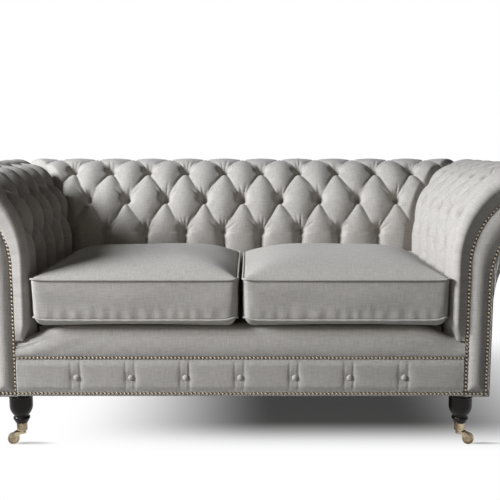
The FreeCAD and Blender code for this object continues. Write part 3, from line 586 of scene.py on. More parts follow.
def buttoned(along, s, pitch, shift, seed, sag, fold_deep):
    """Height of a buttoned pad, and the heights of its buttons and crowns there."""
    turn = np.where(s < upright_length, (s - upright_length) / upright_length * UPRIGHT_TURN, turn_at(s))
    low = smoothed(turn, BUTTON_HEIGHTS, BUTTONS_SPREAD)
    high = smoothed(turn, CROWN_HEIGHTS, CROWNS_SPREAD)
    column = (along - shift) / pitch
    stray = STRAY_ALONG * ripple(along * 17.0, s * 15.0, seed)
    loose = column + stray / pitch
    row = row_at(s + STRAY_UP * ripple(along * 14.0, s * 18.0, seed + 5.0))
    left, right = loose + row / 2.0, loose - row / 2.0
    metres = 1.0 / math.hypot(1.0 / pitch, 0.5 / row_step)
    across_left = (left - np.round(left)) * metres
    across_right = (np.round(right) - right) * metres
    folds = np.maximum(fold(across_left, np.ceil(right) - right), fold(across_right, left - np.floor(left)))
    inside = np.interp(row, [0.0, 1.0], [CREST_SAG, sag]) * (1.0 - dome(left) * dome(right))
    past = np.clip(row_lengths[3] - s, 0.0, CHANNEL_LONG)
    below = channel(loose - 0.5, row_lengths[3] - s, pitch, CHANNEL_DEEP - CHANNEL_FADE * past, sag)
    above = channel(loose, s - row_lengths[0], pitch, CREST_CHANNEL, CREST_SAG)
    sunk = np.where(row > 3.0, below, np.where(row < 0.0, above, inside))
    crest_share = np.interp(row, [0.0, 1.0], [CREST_FOLD, 1.0])
    folds = np.where((row > 3.0) | (row < 0.0), 0.0, folds * crest_share)
    funnel = np.zeros_like(s)
    pleats = np.zeros_like(s)
    for side, up, nearest, number in buttons_near(column, s, pitch):
        narrow = CREST_FUNNEL if number == 0 else 1.0
        reach = np.hypot(side / FUNNEL_SIDE, up / np.where(up > 0, FUNNEL_UP, FUNNEL_DOWN)) / narrow
        funnel = np.maximum(funnel, np.exp(-(reach**FUNNEL_POWER)))
        pleats += fan(side, up, nearest, number, seed)
    depth = 1.0 - (1.0 - np.clip(sunk, 0.0, SUNK_MOST)) * (1.0 - funnel)
    height = high - (high - low - FUNNEL_FLOOR) * depth
    open_share = 1.0 - funnel
    spread = np.clip((high - low) / FULL_PILLOW, 0.0, 1.0)
    height = height - spread * (fold_deep * folds * open_share + pleats * open_share)
    return np.maximum(height, low), low, high


print(f"{len(ROW_TURNS)} rows of buttons, {row_step:.3f} m apart")

# %% [markdown]
# The three pads are laid out from that height. Each is a closed form: the cloth goes round the
# outside and a plain back returns along the lining. The arms and the back meet in a mitre, where
# the cloth is drawn in, so there the pillows flatten before the cut.

# %% Back pad
PAD_BACK_RISE = 0.0028
PAD_THIN = 0.0004
PAD_FINE_FROM, PAD_FINE_TO = 0.14, length_at(112.0)
FOOT_STEP, FINE_STEP, ROLL_STEP = 0.009, 0.0030, 0.008
RETURN_ROWS = 26
MITRE_PULL, MITRE_FLAT = 0.045, 0.35
BACK_REACH = 0.88
BACK_PITCH = 0.130
BACK_SAG, BACK_FOLD, BACK_SEED = 0.30, 0.0085, 1.3

pad_path = np.concatenate([
    np.arange(0.0, PAD_FINE_FROM, FOOT_STEP),
    np.arange(PAD_FINE_FROM, PAD_FINE_TO, FINE_STEP),
    np.arange(PAD_FINE_TO, path_end, ROLL_STEP),
    [path_end],
])
return_path = np.linspace(path_end, 0.0, RETURN_ROWS)


def mitred(along, s, height, low, high, reach):
    """Flattens the pillows towards the mitre. reach is where the mitre is at the frame's own face."""
    flat = low + MITRE_FLAT * (high - low)
    away = reach + profile(s, flat)[0] - np.abs(along)
    return np.where(away < MITRE_PULL, flat + (height - flat) * ease(away / MITRE_PULL), height)


def cut_mitre(piece, side, part, gap=0.0):
    """Cuts a piece at the mitre: part is 1 for a piece of the back and -1 for one of an arm."""
    slice_off(piece, (side * seat_half, back_y + part * gap, 0.0), (part * side, -part, 0.0))


def pad_places(along, height, place):
    """Points of a closed pad: the cloth, then the plain back along the lining."""
    out, z = profile(pad_path[:, None] + 0.0 * along, height)
    cloth = place(along + 0.0 * z, out, z)
    wide = np.broadcast_to(np.max(along, axis=0), (len(return_path), along.shape[1]))
    rise = np.minimum(PAD_BACK_RISE, np.min(height, axis=0) - PAD_THIN) + 0.0 * wide
    plain_out, plain_z = profile(return_path[:, None] + 0.0 * wide, rise)
    plain = place(wide, plain_out, plain_z)
    closing = cloth[:1]
    return np.concatenate([cloth, plain, closing])


def pad_weave(along):
    lengths = np.concatenate([pad_path, path_end + return_path[::-1], [2 * path_end]])
    wide = np.broadcast_to(np.max(along, axis=0), (len(lengths), along.shape[1]))
    return np.stack([wide, lengths[:, None] + 0.0 * wide], axis=-1)


def on_back(along, out, z):
    return np.stack([along, back_y + out, z], axis=-1)


def back_columns(step):
    return np.arange(-BACK_REACH, BACK_REACH + 0.0001, step)


def back_pad():
    along, s = np.meshgrid(back_columns(FINE_STEP), pad_path)
    height, low, high = buttoned(along, s, BACK_PITCH, 0.0, BACK_SEED, BACK_SAG, BACK_FOLD)
    height = mitred(along, s, height, low, high, seat_half)
    piece = cloth_grid("buttoned_back", pad_places(along, height, on_back), pad_weave(along))
    for _, side in SIDES:
        cut_mitre(piece, side, 1)
    weld(piece)
    return piece


back = back_pad()
dress(back, "back_pad", smooth=180.0)

# %% [markdown]
# An arm pad is laid out in the same way along its arm. Its front ends in a rounded nose that swells
# past the facing and tucks back to the nails, and is drawn in at its foot. The cloth of the left arm
# is looser than that of the right, so its folds are deeper.

# %% Arm pads
NOSE_LEAN = math.radians(19.0)
NOSE_SLOPE, NOSE_SLOPE_ROWS = 0.024, 9
NOSE_SHARE = 0.45
NOSE_ROUND, NOSE_ROUND_ROWS = 0.034, 22
NOSE_TAPER = 0.050
NOSE_DRAWN = 0.45
NOSE_FOOT = -0.003
NOSE_BLEND = 0.012
NOSE_END = 0.0006
NOSE_PLAIN = 0.14
NOSE_CLEAR, NOSE_FADE = 0.010, 0.038
ARM_REACH = 0.86
ARM_PITCH = 0.110
ARM_SHIFT = 0.055
ARM_SAGS = {"left": 0.64, "right": 0.20}
ARM_FOLDS = {"left": 0.0260, "right": 0.0060}
ARM_SEEDS = {"left": 4.1, "right": 7.7}

nose_edge = NOSE_FOOT - NOSE_SLOPE * math.tan(NOSE_LEAN)
nose_start = nose_edge + NOSE_ROUND * math.cos(NOSE_LEAN)


def on_side(side):
    """The function that places (along, out, z) on one of the arms."""

    def place(along, out, z):
        return np.stack([side * (seat_half + out), front_y + along, z], axis=-1)

    return place


def arm_pad(word, side):
    slope = np.linspace(0.0, 1.0, NOSE_SLOPE_ROWS)[:-1]
    bends = np.linspace(-NOSE_LEAN, math.pi / 2, NOSE_ROUND_ROWS)[:-1]
    turned = (np.sin(bends) + math.sin(NOSE_LEAN)) / (1.0 + math.sin(NOSE_LEAN))
    nose = np.concatenate([
        NOSE_FOOT + (nose_edge - NOSE_FOOT) * slope,
        nose_edge + NOSE_ROUND * (math.cos(NOSE_LEAN) - np.cos(bends)),
    ])
    nose_swell = np.concatenate([NOSE_SHARE * slope, NOSE_SHARE + (1.0 - NOSE_SHARE) * turned])
    columns = np.concatenate([nose, np.arange(nose_start, ARM_REACH, FINE_STEP)])
    swell = np.concatenate([nose_swell, np.ones(len(columns) - len(nose))])
    along, s = np.meshgrid(columns, pad_path)
    past_nose = along - nose_start
    level = nose_start + (past_nose + np.hypot(past_nose, NOSE_BLEND)) / 2.0
    drawn = ARM_SEEDS[word], ARM_SAGS[word], ARM_FOLDS[word]
    height, low, high = buttoned(level, s, ARM_PITCH, ARM_SHIFT, *drawn)
    height = mitred(level, s, height, low, high, back_depth)
    plain = high - NOSE_PLAIN * (high - low)
    height = plain + (height - plain) * ease((along - NOSE_CLEAR) / NOSE_FADE)
    drawn_in = 1.0 - ease(s / NOSE_TAPER)
    height = height * (1.0 - NOSE_DRAWN * drawn_in * (1.0 - ease((along - nose_start) / NOSE_FADE)))
    height = NOSE_END + (height - NOSE_END) * swell
    along = np.where(along < 0.0, along * (1.0 - drawn_in), along)
    places = pad_places(along, height, on_side(side))
    piece = cloth_grid(f"{word}_buttoned_arm", places, pad_weave(along))
    cut_mitre(piece, side, -1)
    weld(piece)
    close_ends(piece)
    return piece


for word, side in SIDES:
    arm = arm_pad(word, side)
    dress(arm, f"{word}_arm_pad", smooth=180.0)

# %% [markdown]
# Covered buttons: a dome of linen over a metal shell, pulled to the bottom of each funnel by twine.
# One button is modelled, by flattening a sphere, cutting off its underside and drawing out a short
# stalk. The copies stand where the frame has them, turned to face out of the pad.

# %% Covered buttons
BUTTON_R = 0.0086
BUTTON_DOME = 0.50
BUTTON_CUT = -0.0018
BUTTON_STALK, STALK_INSET = 0.004, 0.55
BUTTON_CLEAR = 0.0205
BUTTON_VALLEYS = (0.037, 0.030, 0.026, 0.024)
BUTTON_SEAT = -0.0085
APRON_BUTTON_STEP = 0.149
APRON_BUTTON_Z = 0.208
APRON_BUTTON_PROUD = 0.0005
MAP_SHIFT = 0.05


def ball(name, radius, segments, rings):
    sphere = bpy.ops.mesh.primitive_uv_sphere_add
    return begin(sphere, name, segments=segments, ring_count=rings, radius=radius)


def button_model():
    piece = ball("button_model", BUTTON_R, 14, 10)
    open_mesh(piece)
    bpy.ops.transform.resize(value=(1.0, 1.0, BUTTON_DOME))
    close_mesh()
    slice_off(piece, (0.0, 0.0, BUTTON_CUT), (0.0, 0.0, -1.0))
    open_faces(piece, lambda face: face.normal.z < -0.9)
    bpy.ops.mesh.inset(thickness=BUTTON_R * STALK_INSET)
    bpy.ops.mesh.extrude_region_move(TRANSFORM_OT_translate={"value": (0.0, 0.0, -BUTTON_STALK)})
    close_mesh()
    return piece


def copies(name, model, places, facings):
    """One object with a copy of the model, which faces +Z, at each place."""
    shape = points_of(model)
    faces = [list(face.vertices) for face in model.data.polygons]
    points, outlines, maps = [], [], []
    for index, (place, facing) in enumerate(zip(places, facings)):
        turn = Vector((0.0, 0.0, 1.0)).rotation_difference(Vector(facing)).to_matrix()
        outlines += [[corner + index * len(shape) for corner in face] for face in faces]
        points.append(shape @ np.array(turn).T + np.array(place))
        maps.append(shape[:, :2] + MAP_SHIFT * index)
    piece = from_faces(name, np.concatenate(points), outlines)
    lay_weave(piece, np.concatenate(maps))
    return piece


def pad_buttons(reach, pitch, shift, first):
    """Places (along, out, z) and facings (out, z) of a pad's buttons that are clear of the mitre."""
    for row, valley in enumerate(BUTTON_VALLEYS):
        s = row_lengths[row]
        angle = math.radians(ROW_TURNS[row])
        clear = reach + float(profile(s, valley)[0]) - BUTTON_CLEAR
        for number in range(-8, 9):
            along = (number + 0.5 * (row % 2)) * pitch + shift
            if first <= along <= clear and along >= -clear:
                out, z = profile(s, valley + BUTTON_SEAT)
                yield (along, float(out), float(z)), (-math.cos(angle), math.sin(angle))


button = button_model()
found = list(pad_buttons(seat_half, BACK_PITCH, 0.0, -1.0))
back_spots = [on_back(*spot) for spot, _ in found]
back_facings = [(0.0, out, z) for _, (out, z) in found]
back_buttons = copies("back_covered_buttons", button, back_spots, back_facings)
dress(back_buttons, "back_buttons")
found = list(pad_buttons(back_depth, ARM_PITCH, ARM_SHIFT, ARM_PITCH / 4))
for word, side in SIDES:
    arm_spots = [on_side(side)(*spot) for spot, _ in found]
    arm_facings = [(side * out, 0.0, z) for _, (out, z) in found]
    arm_buttons = copies(f"{word}_arm_covered_buttons", button, arm_spots, arm_facings)
    dress(arm_buttons, f"{word}_arm_buttons")
apron_button_y = front_y - APRON_BUTTON_PROUD
apron_spots = [(APRON_BUTTON_STEP * number, apron_button_y, APRON_BUTTON_Z) for number in range(-3, 4)]
apron_buttons = copies("apron_covered_buttons", button, apron_spots, [(0.0, -1.0, 0.0)] * len(apron_spots))
dress(apron_buttons, "apron_buttons")

# %% [markdown]
# The front of each arm is a padded facing cut to the scroll. Its inner edge is the profile and its
# outer edge a flare, and both run from the base to the notch under the roll. A grid is laid between
# the two, close at the edges. A height over the distance to each edge then presses in a bed for the
# nails and swells the middle, as wadding does between two rows of nails.

# %% Scroll facings
NAIL_INNER = 0.0045
NAIL_OUTER = 0.011
FACING_STEP = 0.008
FACING_COLUMNS = 130
BANK = np.array([
    0.0, 0.0022, 0.0045, 0.0070, 0.0090, 0.0110, 0.0130, 0.0150, 0.0180, 0.0215, 0.0260
])
RIM_AWAY = (0.0, 0.0022, 0.0045, 0.0070, 0.0110, 0.0150, 0.0190, 0.0250, 0.0320, 0.0390)
RIM_RISE = (-0.0020, 0.0006, 0.0006, -0.0010, -0.0014, -0.0010, 0.0010, 0.0044, 0.0068, 0.0080)
CREASE_AWAY = (0.0, 0.0045, 0.0085, 0.0120, 0.0180, 0.0260, 0.0340)
CREASE_RISE = (-0.0014, -0.0014, -0.0008, 0.0018, 0.0052, 0.0074, 0.0080)


def at(line, places):
    """Points of a line at the given lengths along it."""
    lengths = np.concatenate([[0.0], np.cumsum(np.hypot(*np.diff(line, axis=0).T))])
    return np.stack([np.interp(places, lengths, line[:, axis]) for axis in (0, 1)], axis=-1)


def length_of(line):
    return float(np.hypot(*np.diff(line, axis=0).T).sum())


def evenly(line, step):
    """Points at even distances along a line, with its ends kept."""
    length = length_of(line)
    return at(line, np.linspace(0.0, length, max(2, round(length / step) + 1)))


def flare(turns, inset):
    """(out, z) of points at a turn of the outer face, inset into the arm."""
    reach = FLARE_R + inset
    return ARM_BASE + FLARE_R - reach * np.cos(turns), FLARE_START + reach * np.sin(turns)


def flare_turn(inset_in, inset_out):
    """How far the flare turns before it meets the underside of the head, as an angle in radians."""
    turns = np.linspace(0.2, 1.2, 4000)
    out, z = flare(turns, inset_out)
    return float(turns[np.argmax(np.hypot(out - shoulder_out, z - head_z) <= HEAD_R - inset_in)])


def flare_line(inset_in, inset_out, bottom):
    """The outer face's line as (out, z), from the head down to the base."""
    turns = np.linspace(flare_turn(inset_in, inset_out), 0.0, 60)
    out, z = flare(turns, inset_out)
    foot = np.array([[ARM_BASE - inset_out, bottom]])
    return np.concatenate([np.stack([out, z], axis=-1), foot])


def scroll_line(inset_in, inset_out, bottom):
    """The inner face's line as (out, z), from the base up and round the head to the flare."""
    end = flare_line(inset_in, inset_out, bottom)[0]
    last = 180.0 + math.degrees(math.atan2(head_z - end[1], end[0] - shoulder_out))
    out, z = arc(np.linspace(0.0, last, 240), -inset_in)
    return np.concatenate([[[inset_in, bottom]], np.stack([out, z], axis=-1)])


def away_from(points, line):
    """Distance from each point to the nearest place on a line."""
    near = np.full(len(points), 1.0)
    for a, b in zip(line, line[1:]):
        run = b - a
        share = np.clip((points - a) @ run / max(run @ run, 1e-12), 0.0, 1.0)
        near = np.minimum(near, np.hypot(*(points - a - share[:, None] * run).T))
    return near


def scroll_facing(side, name):
    inner, outer = scroll_line(0.0, 0.0, base_z), flare_line(0.0, 0.0, base_z)[::-1]
    up_inner, up_outer = (
        at(line, np.concatenate([BANK, np.linspace(BANK[-1], length_of(line), FACING_COLUMNS)[1:]]))
        for line in (inner, outer)
    )
    width = np.maximum(np.hypot(*(up_outer - up_inner).T), 1e-6)
    bank = BANK[:, None] * np.minimum(1.0 / BANK[-1], 0.45 * width / BANK[-1] ** 2) * BANK[-1] / width
    middle = bank[-1] + (1.0 - 2.0 * bank[-1]) * np.linspace(0.0, 1.0, 7)[1:-1, None]
    share = np.concatenate([bank, middle, 1.0 - bank[::-1]])[..., None]
    flat = up_inner + share * (up_outer - up_inner)
    spots = flat.reshape(-1, 2)
    swell = np.minimum(
        np.interp(away_from(spots, evenly(outer, FACING_STEP)), RIM_AWAY, RIM_RISE),
        np.interp(away_from(spots, evenly(inner, FACING_STEP)), CREASE_AWAY, CREASE_RISE),
    )
    swell = np.minimum(swell, np.interp(spots[:, 1] - base_z, RIM_AWAY, RIM_RISE)).reshape(flat.shape[:2])
    section = np.concatenate([flat, flat[-1:], flat[:1], flat[:1]])
    behind = np.full((2, flat.shape[1]), FACING_THICK)
    depth = np.concatenate([-swell, behind, -swell[:1]])
    piece = cloth_grid(name, on_side(side)(depth, section[..., 0], section[..., 1]), section)
    weld(piece)
    close_ends(piece)
    return piece


for word, side in SIDES:
    facing = scroll_facing(side, f"{word}_scroll_facing")
    dress(facing, f"{word}_arm_facing", smooth=70.0)

# %% [markdown]
# Upholstery nails in close rows hide the edges where two cloths meet. One head is half a sphere,
# pressed flat; each copy gets the attribute that darkens its rim, partly painted shade, and brightens
# its crown, a painted highlight. The rows follow the same lines as in the frame: two along the front
# and one round each facing.

# %% Nails
NAIL_PITCH = 0.0107
NAIL_R = 0.0050
NAIL_DOME = 0.56
NAIL_HIGHLIGHT_POWER = 3.0
NAIL_ROW_LOW = 0.163
NAIL_ROW_HIGH = 0.2632
RAIL_NAIL_SUNK, FACING_NAIL_SUNK = 0.0006, 0.0008


def nail_model():
    piece = ball("nail_model", NAIL_R, 10, 8)
    slice_off(piece, (0.0, 0.0, 0.0), (0.0, 0.0, -1.0))
    open_mesh(piece)
    bpy.ops.transform.resize(value=(1.0, 1.0, NAIL_DOME), center_override=(0.0, 0.0, 0.0))
    close_mesh()
    return piece


def nail_copies(name, model, places):
    piece = copies(name, model, places, [(0.0, -1.0, 0.0)] * len(places))
    crown = piece.data.attributes.new("crown", "FLOAT", "POINT")
    # The crown share paints a highlight on top of each head and shade round its rim
    share = (points_of(model)[:, 2] / (NAIL_R * NAIL_DOME)).clip(0.0, 1.0) ** NAIL_HIGHLIGHT_POWER
    crown.data.foreach_set("value", np.tile(share, len(places)))
    return piece


nail = nail_model()
rail_places = []
low_half = seat_half + ARM_BASE - NAIL_OUTER
high_half = seat_half + NAIL_INNER - NAIL_PITCH
for z, half in ((NAIL_ROW_LOW, low_half), (NAIL_ROW_HIGH, high_half)):
    count = round(2 * half / NAIL_PITCH)
    row_x = [-half + 2 * half * number / count for number in range(count + 1)]
    rail_places += [(x, front_y + RAIL_NAIL_SUNK, z) for x in row_x]
rail_nails = nail_copies("rail_nail_rows", nail, rail_places)
dress(rail_nails, "rail_nails", slot="nail_brass")
nail_foot = NAIL_ROW_LOW + NAIL_PITCH
scroll_nails = np.concatenate([
    evenly(scroll_line(NAIL_INNER, NAIL_OUTER, nail_foot), NAIL_PITCH),
    evenly(flare_line(NAIL_INNER, NAIL_OUTER, nail_foot), NAIL_PITCH)[1:],
])
for word, side in SIDES:
    places = [on_side(side)(FACING_NAIL_SUNK, out, z) for out, z in scroll_nails]
    facing_nails = nail_copies(f"{word}_facing_nail_row", nail, places)
    dress(facing_nails, f"{word}_facing_nails", slot="nail_brass")

# %% [markdown]
# Under the cushions the front has two soft bands. The border is the rounded, wadded edge of the seat;
# at each end it dips under the foot of the arm pad. The apron below it is pulled in by seven buttons,
# each on a vertical pleat. Both are grids: columns run along the sofa and rows round the section.

# %% Border
BORDER_ROUND = 0.022
BORDER_SWELL = 0.005
BORDER_BACK = 0.046
BORDER_STEP = 0.006
BORDER_ROWS, ROUND_ROWS = 15, 9
DIP_AWAY = (0.0, 0.492, 0.520, 0.566, 0.585, 0.612)
DIP_DOWN = (0.0, 0.0, 0.004, 0.032, 0.038, 0.040)
DIP_SMOOTH = 6
PULL_DEEP, PULL_FROM, PULL_REACH = 0.0011, 0.30, 0.25
BORDER_WAVE = 0.0009
END_CLEAR = 0.0004
border_low = rail_top + 0.0025
border_half = seat_half - END_CLEAR


def border_places(x):
    """Points round the border's section at each x, from the front foot over the top and back."""
    away = np.abs(x)
    window = 2 * DIP_SMOOTH + 1
    dip = np.pad(np.interp(away, DIP_AWAY, DIP_DOWN), DIP_SMOOTH, mode="edge")
    top = deck_top - np.convolve(dip, np.ones(window) / window, mode="valid")
    share = np.linspace(0.0, 1.0, BORDER_ROWS)[:, None]
    shoulder = top - BORDER_ROUND
    front_z = border_low + share * (shoulder - border_low)
    swell = BORDER_SWELL * np.sin(math.pi * share**0.8) ** 0.8
    slanted = ripple(x * 26.0 + 60.0 * np.sign(x) * front_z, front_z * 40.0, 2.2)
    pull = PULL_DEEP * slanted * ease((away - PULL_FROM) / PULL_REACH)
    front_depth = -swell - BORDER_WAVE * ripple(x * 9.0, front_z * 22.0, 0.6) - pull
    angle = np.linspace(0.0, math.pi / 2, ROUND_ROWS)[1:, None]
    round_depth = BORDER_ROUND * (1.0 - np.cos(angle)) + 0.0 * x
    round_z = shoulder + BORDER_ROUND * np.sin(angle)
    back_depth_rows = np.array([BORDER_BACK, BORDER_BACK, 0.0])[:, None] + 0.0 * x
    back_z = np.stack([top, 0.0 * x + border_low, 0.0 * x + border_low])
    depth = np.concatenate([front_depth, round_depth, back_depth_rows])
    z = np.concatenate([front_z + 0.0 * x, round_z, back_z])
    depth[-1] = depth[0]
    return depth, z


def front_band(name, half, step, section):
    """A closed band along the front, with a flat end at each side."""
    x = np.linspace(-half, half, round(2 * half / step) + 1)
    depth, z = section(x)
    places = np.stack([np.broadcast_to(x, depth.shape), front_y + depth, z], axis=-1)
    runs = np.hypot(np.diff(depth, axis=0), np.diff(z, axis=0))
    lengths = np.concatenate([np.zeros((1, len(x))), np.cumsum(runs, axis=0)])
    piece = cloth_grid(name, places, np.stack([places[..., 0], lengths], axis=-1))
    weld(piece)
    close_ends(piece)
    return piece


border = front_band("seat_front_border", border_half, BORDER_STEP, border_places)
dress(border, "seat_border", smooth=70.0)

# %% [markdown]
# The apron swells between its pleats. At each button two creases run from nail row to nail row: a soft
# one on the left and a sharp one on the right, where the pleat is turned under.

# %% Apron
APRON_STEP = 0.0032
APRON_SWELL, APRON_END_SWELL, APRON_END = 0.0040, 0.75, 0.030
APRON_WAVE, APRON_WANDER = 0.0007, 0.0012
APRON_HELD = 0.022
VALLEY_LEFT, VALLEY_WIDE, VALLEY_DEEP = 0.003, 0.022, 0.20
PLEAT_LEFT, SOFT_WIDE, SOFT_DEEP = 0.0150, 0.0030, 0.0011
PLEAT_RIGHT, SHARP_DEEP = 0.0085, 0.0022
SHARP_INNER, SHARP_OUTER = 0.0014, 0.0036
PRESS_WIDE, PRESS_DEEP = 0.016, 0.0028
HEM_TALL, HEM_PROUD = 0.0085, 0.0016
UNDER_TALL, UNDER_DEEP = 0.004, 0.009
NAIL_GAP = 0.001
apron_top = rail_top + 0.0021
apron_rows = np.concatenate([
    np.linspace(0.0, 0.16, 8),
    np.linspace(0.16, 0.90, 26)[1:],
    np.linspace(0.90, 1.0, 5)[1:],
])


def apron_places(x):
    """Points round the apron's section at each x, from the base up the front and down the back."""
    z = base_z + apron_rows[:, None] * (apron_top - base_z) + 0.0 * x
    from_button = x - APRON_BUTTON_STEP * np.clip(np.round(x / APRON_BUTTON_STEP), -3, 3) + 0.0 * z
    wander = APRON_WANDER * ripple(x * 3.0, z * 30.0, 4.0)
    valley = np.exp(-(((from_button + VALLEY_LEFT + wander) / VALLEY_WIDE) ** 2))
    soft = np.exp(-(((from_button + PLEAT_LEFT + wander) / SOFT_WIDE) ** 2))
    sharp = np.where(from_button - PLEAT_RIGHT + wander > 0, SHARP_OUTER, SHARP_INNER)
    sharp = np.exp(-np.abs(from_button - PLEAT_RIGHT + wander) / sharp)
    press = np.exp(-((from_button / PRESS_WIDE) ** 2) - ((z - APRON_BUTTON_Z) / PRESS_WIDE) ** 2)
    held = ease((z - NAIL_ROW_LOW - NAIL_GAP) / APRON_HELD)
    held = held * ease((NAIL_ROW_HIGH - NAIL_GAP - z) / APRON_HELD)
    ends = ease((border_half - np.abs(x)) / APRON_END)
    swell = APRON_SWELL * (APRON_END_SWELL + (1.0 - APRON_END_SWELL) * ends) * (1.0 - VALLEY_DEEP * valley)
    swell = swell - SOFT_DEEP * soft - SHARP_DEEP * sharp
    swell = swell * held - PRESS_DEEP * press + APRON_WAVE * ripple(x * 11.0, z * 30.0, 1.1) * held
    hem = HEM_PROUD * np.sin(math.pi * np.clip((z - base_z) / HEM_TALL, 0.0, 1.0))
    under = UNDER_DEEP * (1.0 - ease((z - base_z) / UNDER_TALL))
    depth = under - swell - hem
    back_rows = np.full((2, len(x)), FACING_THICK)
    depth = np.concatenate([depth, back_rows, depth[:1]])
    z = np.concatenate([z, z[-1:], z[:1], z[:1]])
    return depth, z


apron = front_band("buttoned_apron", border_half, APRON_STEP, apron_places)
dress(apron, "front_apron", smooth=180.0)

# %% [markdown]
# Each seat cushion is a foam block in a linen case: a top, a bottom and a band between two piped
# seams. The case is laid out first, a little smaller than it ends up, as three grids that share
# their seam loops. The corners are rounded, and the top is crowned.

# %% Cushion case
CUSHION_STEP = 0.0090
CUSHION_CORNER = 0.016
CROWN_REACH, CROWN_POWER = 0.20, 3.1
BELLY_REACH, BELLY_CLEAR = 0.026, 0.0004
RIDGE_POWER = 4.0
SEAM_LOW = 0.371
SEAM_HIGH = 0.480
BAND_LOOPS = 14


def rounded(x, y, half_x, half_y):
    """Pulls a rectangle's corner squares in to quarter discs."""
    a = np.clip((np.abs(x) - half_x + CUSHION_CORNER) / CUSHION_CORNER, 0.0, 1.0)
    b = np.clip((np.abs(y) - half_y + CUSHION_CORNER) / CUSHION_CORNER, 0.0, 1.0)
    both = (a > 0) & (b > 0)
    round_x = half_x - CUSHION_CORNER + CUSHION_CORNER * a * np.sqrt(1.0 - b * b / 2)
    round_y = half_y - CUSHION_CORNER + CUSHION_CORNER * b * np.sqrt(1.0 - a * a / 2)
    return np.where(both, np.sign(x) * round_x, x), np.where(both, np.sign(y) * round_y, y)


def lesser(a, b):
    """The smaller of two shares, with the ridge between them rounded."""
    a, b = np.maximum(a, 0.001), np.maximum(b, 0.001)
    return (a**-RIDGE_POWER + b**-RIDGE_POWER - 1.0) ** (-1.0 / RIDGE_POWER)


def quarter(share):
    """The rise of a quarter circle, 0 to 1."""
    return np.sqrt(1.0 - (1.0 - np.clip(share, 0.0, 1.0)) ** 2)


def quads(loops):
    """Faces between each loop of point numbers and the next."""
    after = np.roll(loops, -1, axis=1)
    return np.stack([loops[:-1], loops[1:], after[1:], after[:-1]], axis=-1).reshape(-1, 4)


def cushion_case(low, high):
    """Points, faces and weave of a case, and the point numbers along its upper and lower seams."""
    half_x, half_y = (high.x - low.x) / 2, (high.y - low.y) / 2
    columns, rows = round(2 * half_x / CUSHION_STEP) + 1, round(2 * half_y / CUSHION_STEP) + 1
    along_x, along_y = np.linspace(-half_x, half_x, columns), np.linspace(-half_y, half_y, rows)
    flat_x, flat_y = np.meshgrid(along_x, along_y)
    x, y = rounded(flat_x, flat_y, half_x, half_y)
    edge_x = np.clip((half_x - np.abs(flat_x)) / CROWN_REACH, 0.0, 1.0)
    edge_y = np.clip((half_y - np.abs(flat_y)) / CROWN_REACH, 0.0, 1.0)
    crown = lesser(1.0 - (1.0 - edge_x) ** CROWN_POWER, 1.0 - (1.0 - edge_y) ** CROWN_POWER)
    belly = lesser(*(quarter(edge * CROWN_REACH / BELLY_REACH) for edge in (edge_x, edge_y)))
    top_z = SEAM_HIGH + (high.z - SEAM_HIGH) * crown
    bottom_z = SEAM_LOW - (SEAM_LOW - low.z - BELLY_CLEAR) * belly
    top, bottom = (np.stack([x, y, z], axis=-1).reshape(-1, 3) for z in (top_z, bottom_z))
    grid = np.arange(rows * columns).reshape(rows, columns)
    seam_high = np.concatenate([grid[0], grid[1:, -1], grid[-1, -2::-1], grid[-2:0:-1, 0]])
    seam_low = seam_high + grid.size
    rim = top[seam_high]
    levels = np.linspace(SEAM_HIGH, SEAM_LOW, BAND_LOOPS)
    band = [np.column_stack([rim[:, :2], np.full(len(rim), z)]) for z in levels[1:-1]]
    points = np.concatenate([top, bottom, *band])
    points[:, :2] += ((low.x + high.x) / 2, (low.y + high.y) / 2)
    upper = np.stack([grid[:-1, :-1], grid[:-1, 1:], grid[1:, 1:], grid[1:, :-1]], axis=-1).reshape(-1, 4)
    flat_faces = np.stack([upper, upper[:, ::-1] + grid.size], axis=1).reshape(-1, 4)
    inner_loops = np.arange(2 * grid.size, len(points)).reshape(-1, len(rim))
    faces = np.concatenate([flat_faces, quads(np.concatenate([[seam_high], inner_loops, [seam_low]]))])
    runs = np.linalg.norm(np.diff(rim, axis=0, append=rim[:1]), axis=1)
    around = np.concatenate([[0.0], np.cumsum(runs)])
    near, far, above, below = around[:-1], around[1:], levels[:-1, None], levels[1:, None]
    pairs = ((near, above), (near, below), (far, below), (far, above))
    corners = [np.stack(np.broadcast_arrays(*pair), axis=-1) for pair in pairs]
    band_weave = np.stack(corners, axis=2).reshape(-1, 2)
    weave = np.concatenate([points[flat_faces.ravel(), :2], band_weave])
    return points, faces.tolist(), weave, (seam_high, seam_low)


print(f"case seams at Z {SEAM_LOW} and {SEAM_HIGH}")

# %% [markdown]
# Cloth under pressure swells the case while its seams hold. What the cloth moves is capped, so the
# cushion stays in its place between the arms and on the deck.

# %% Swelling
SWELL_FRAMES = 20
SWELL_CAP = 0.006
SWELL_SETTINGS = {
    "vertex_group_mass": "seams",
    "use_pressure": True,
    "uniform_pressure_force": 4.0,
    "quality": 5,
    "tension_stiffness": 25.0,
    "compression_stiffness": 25.0,
    "bending_stiffness": 2.0,
}


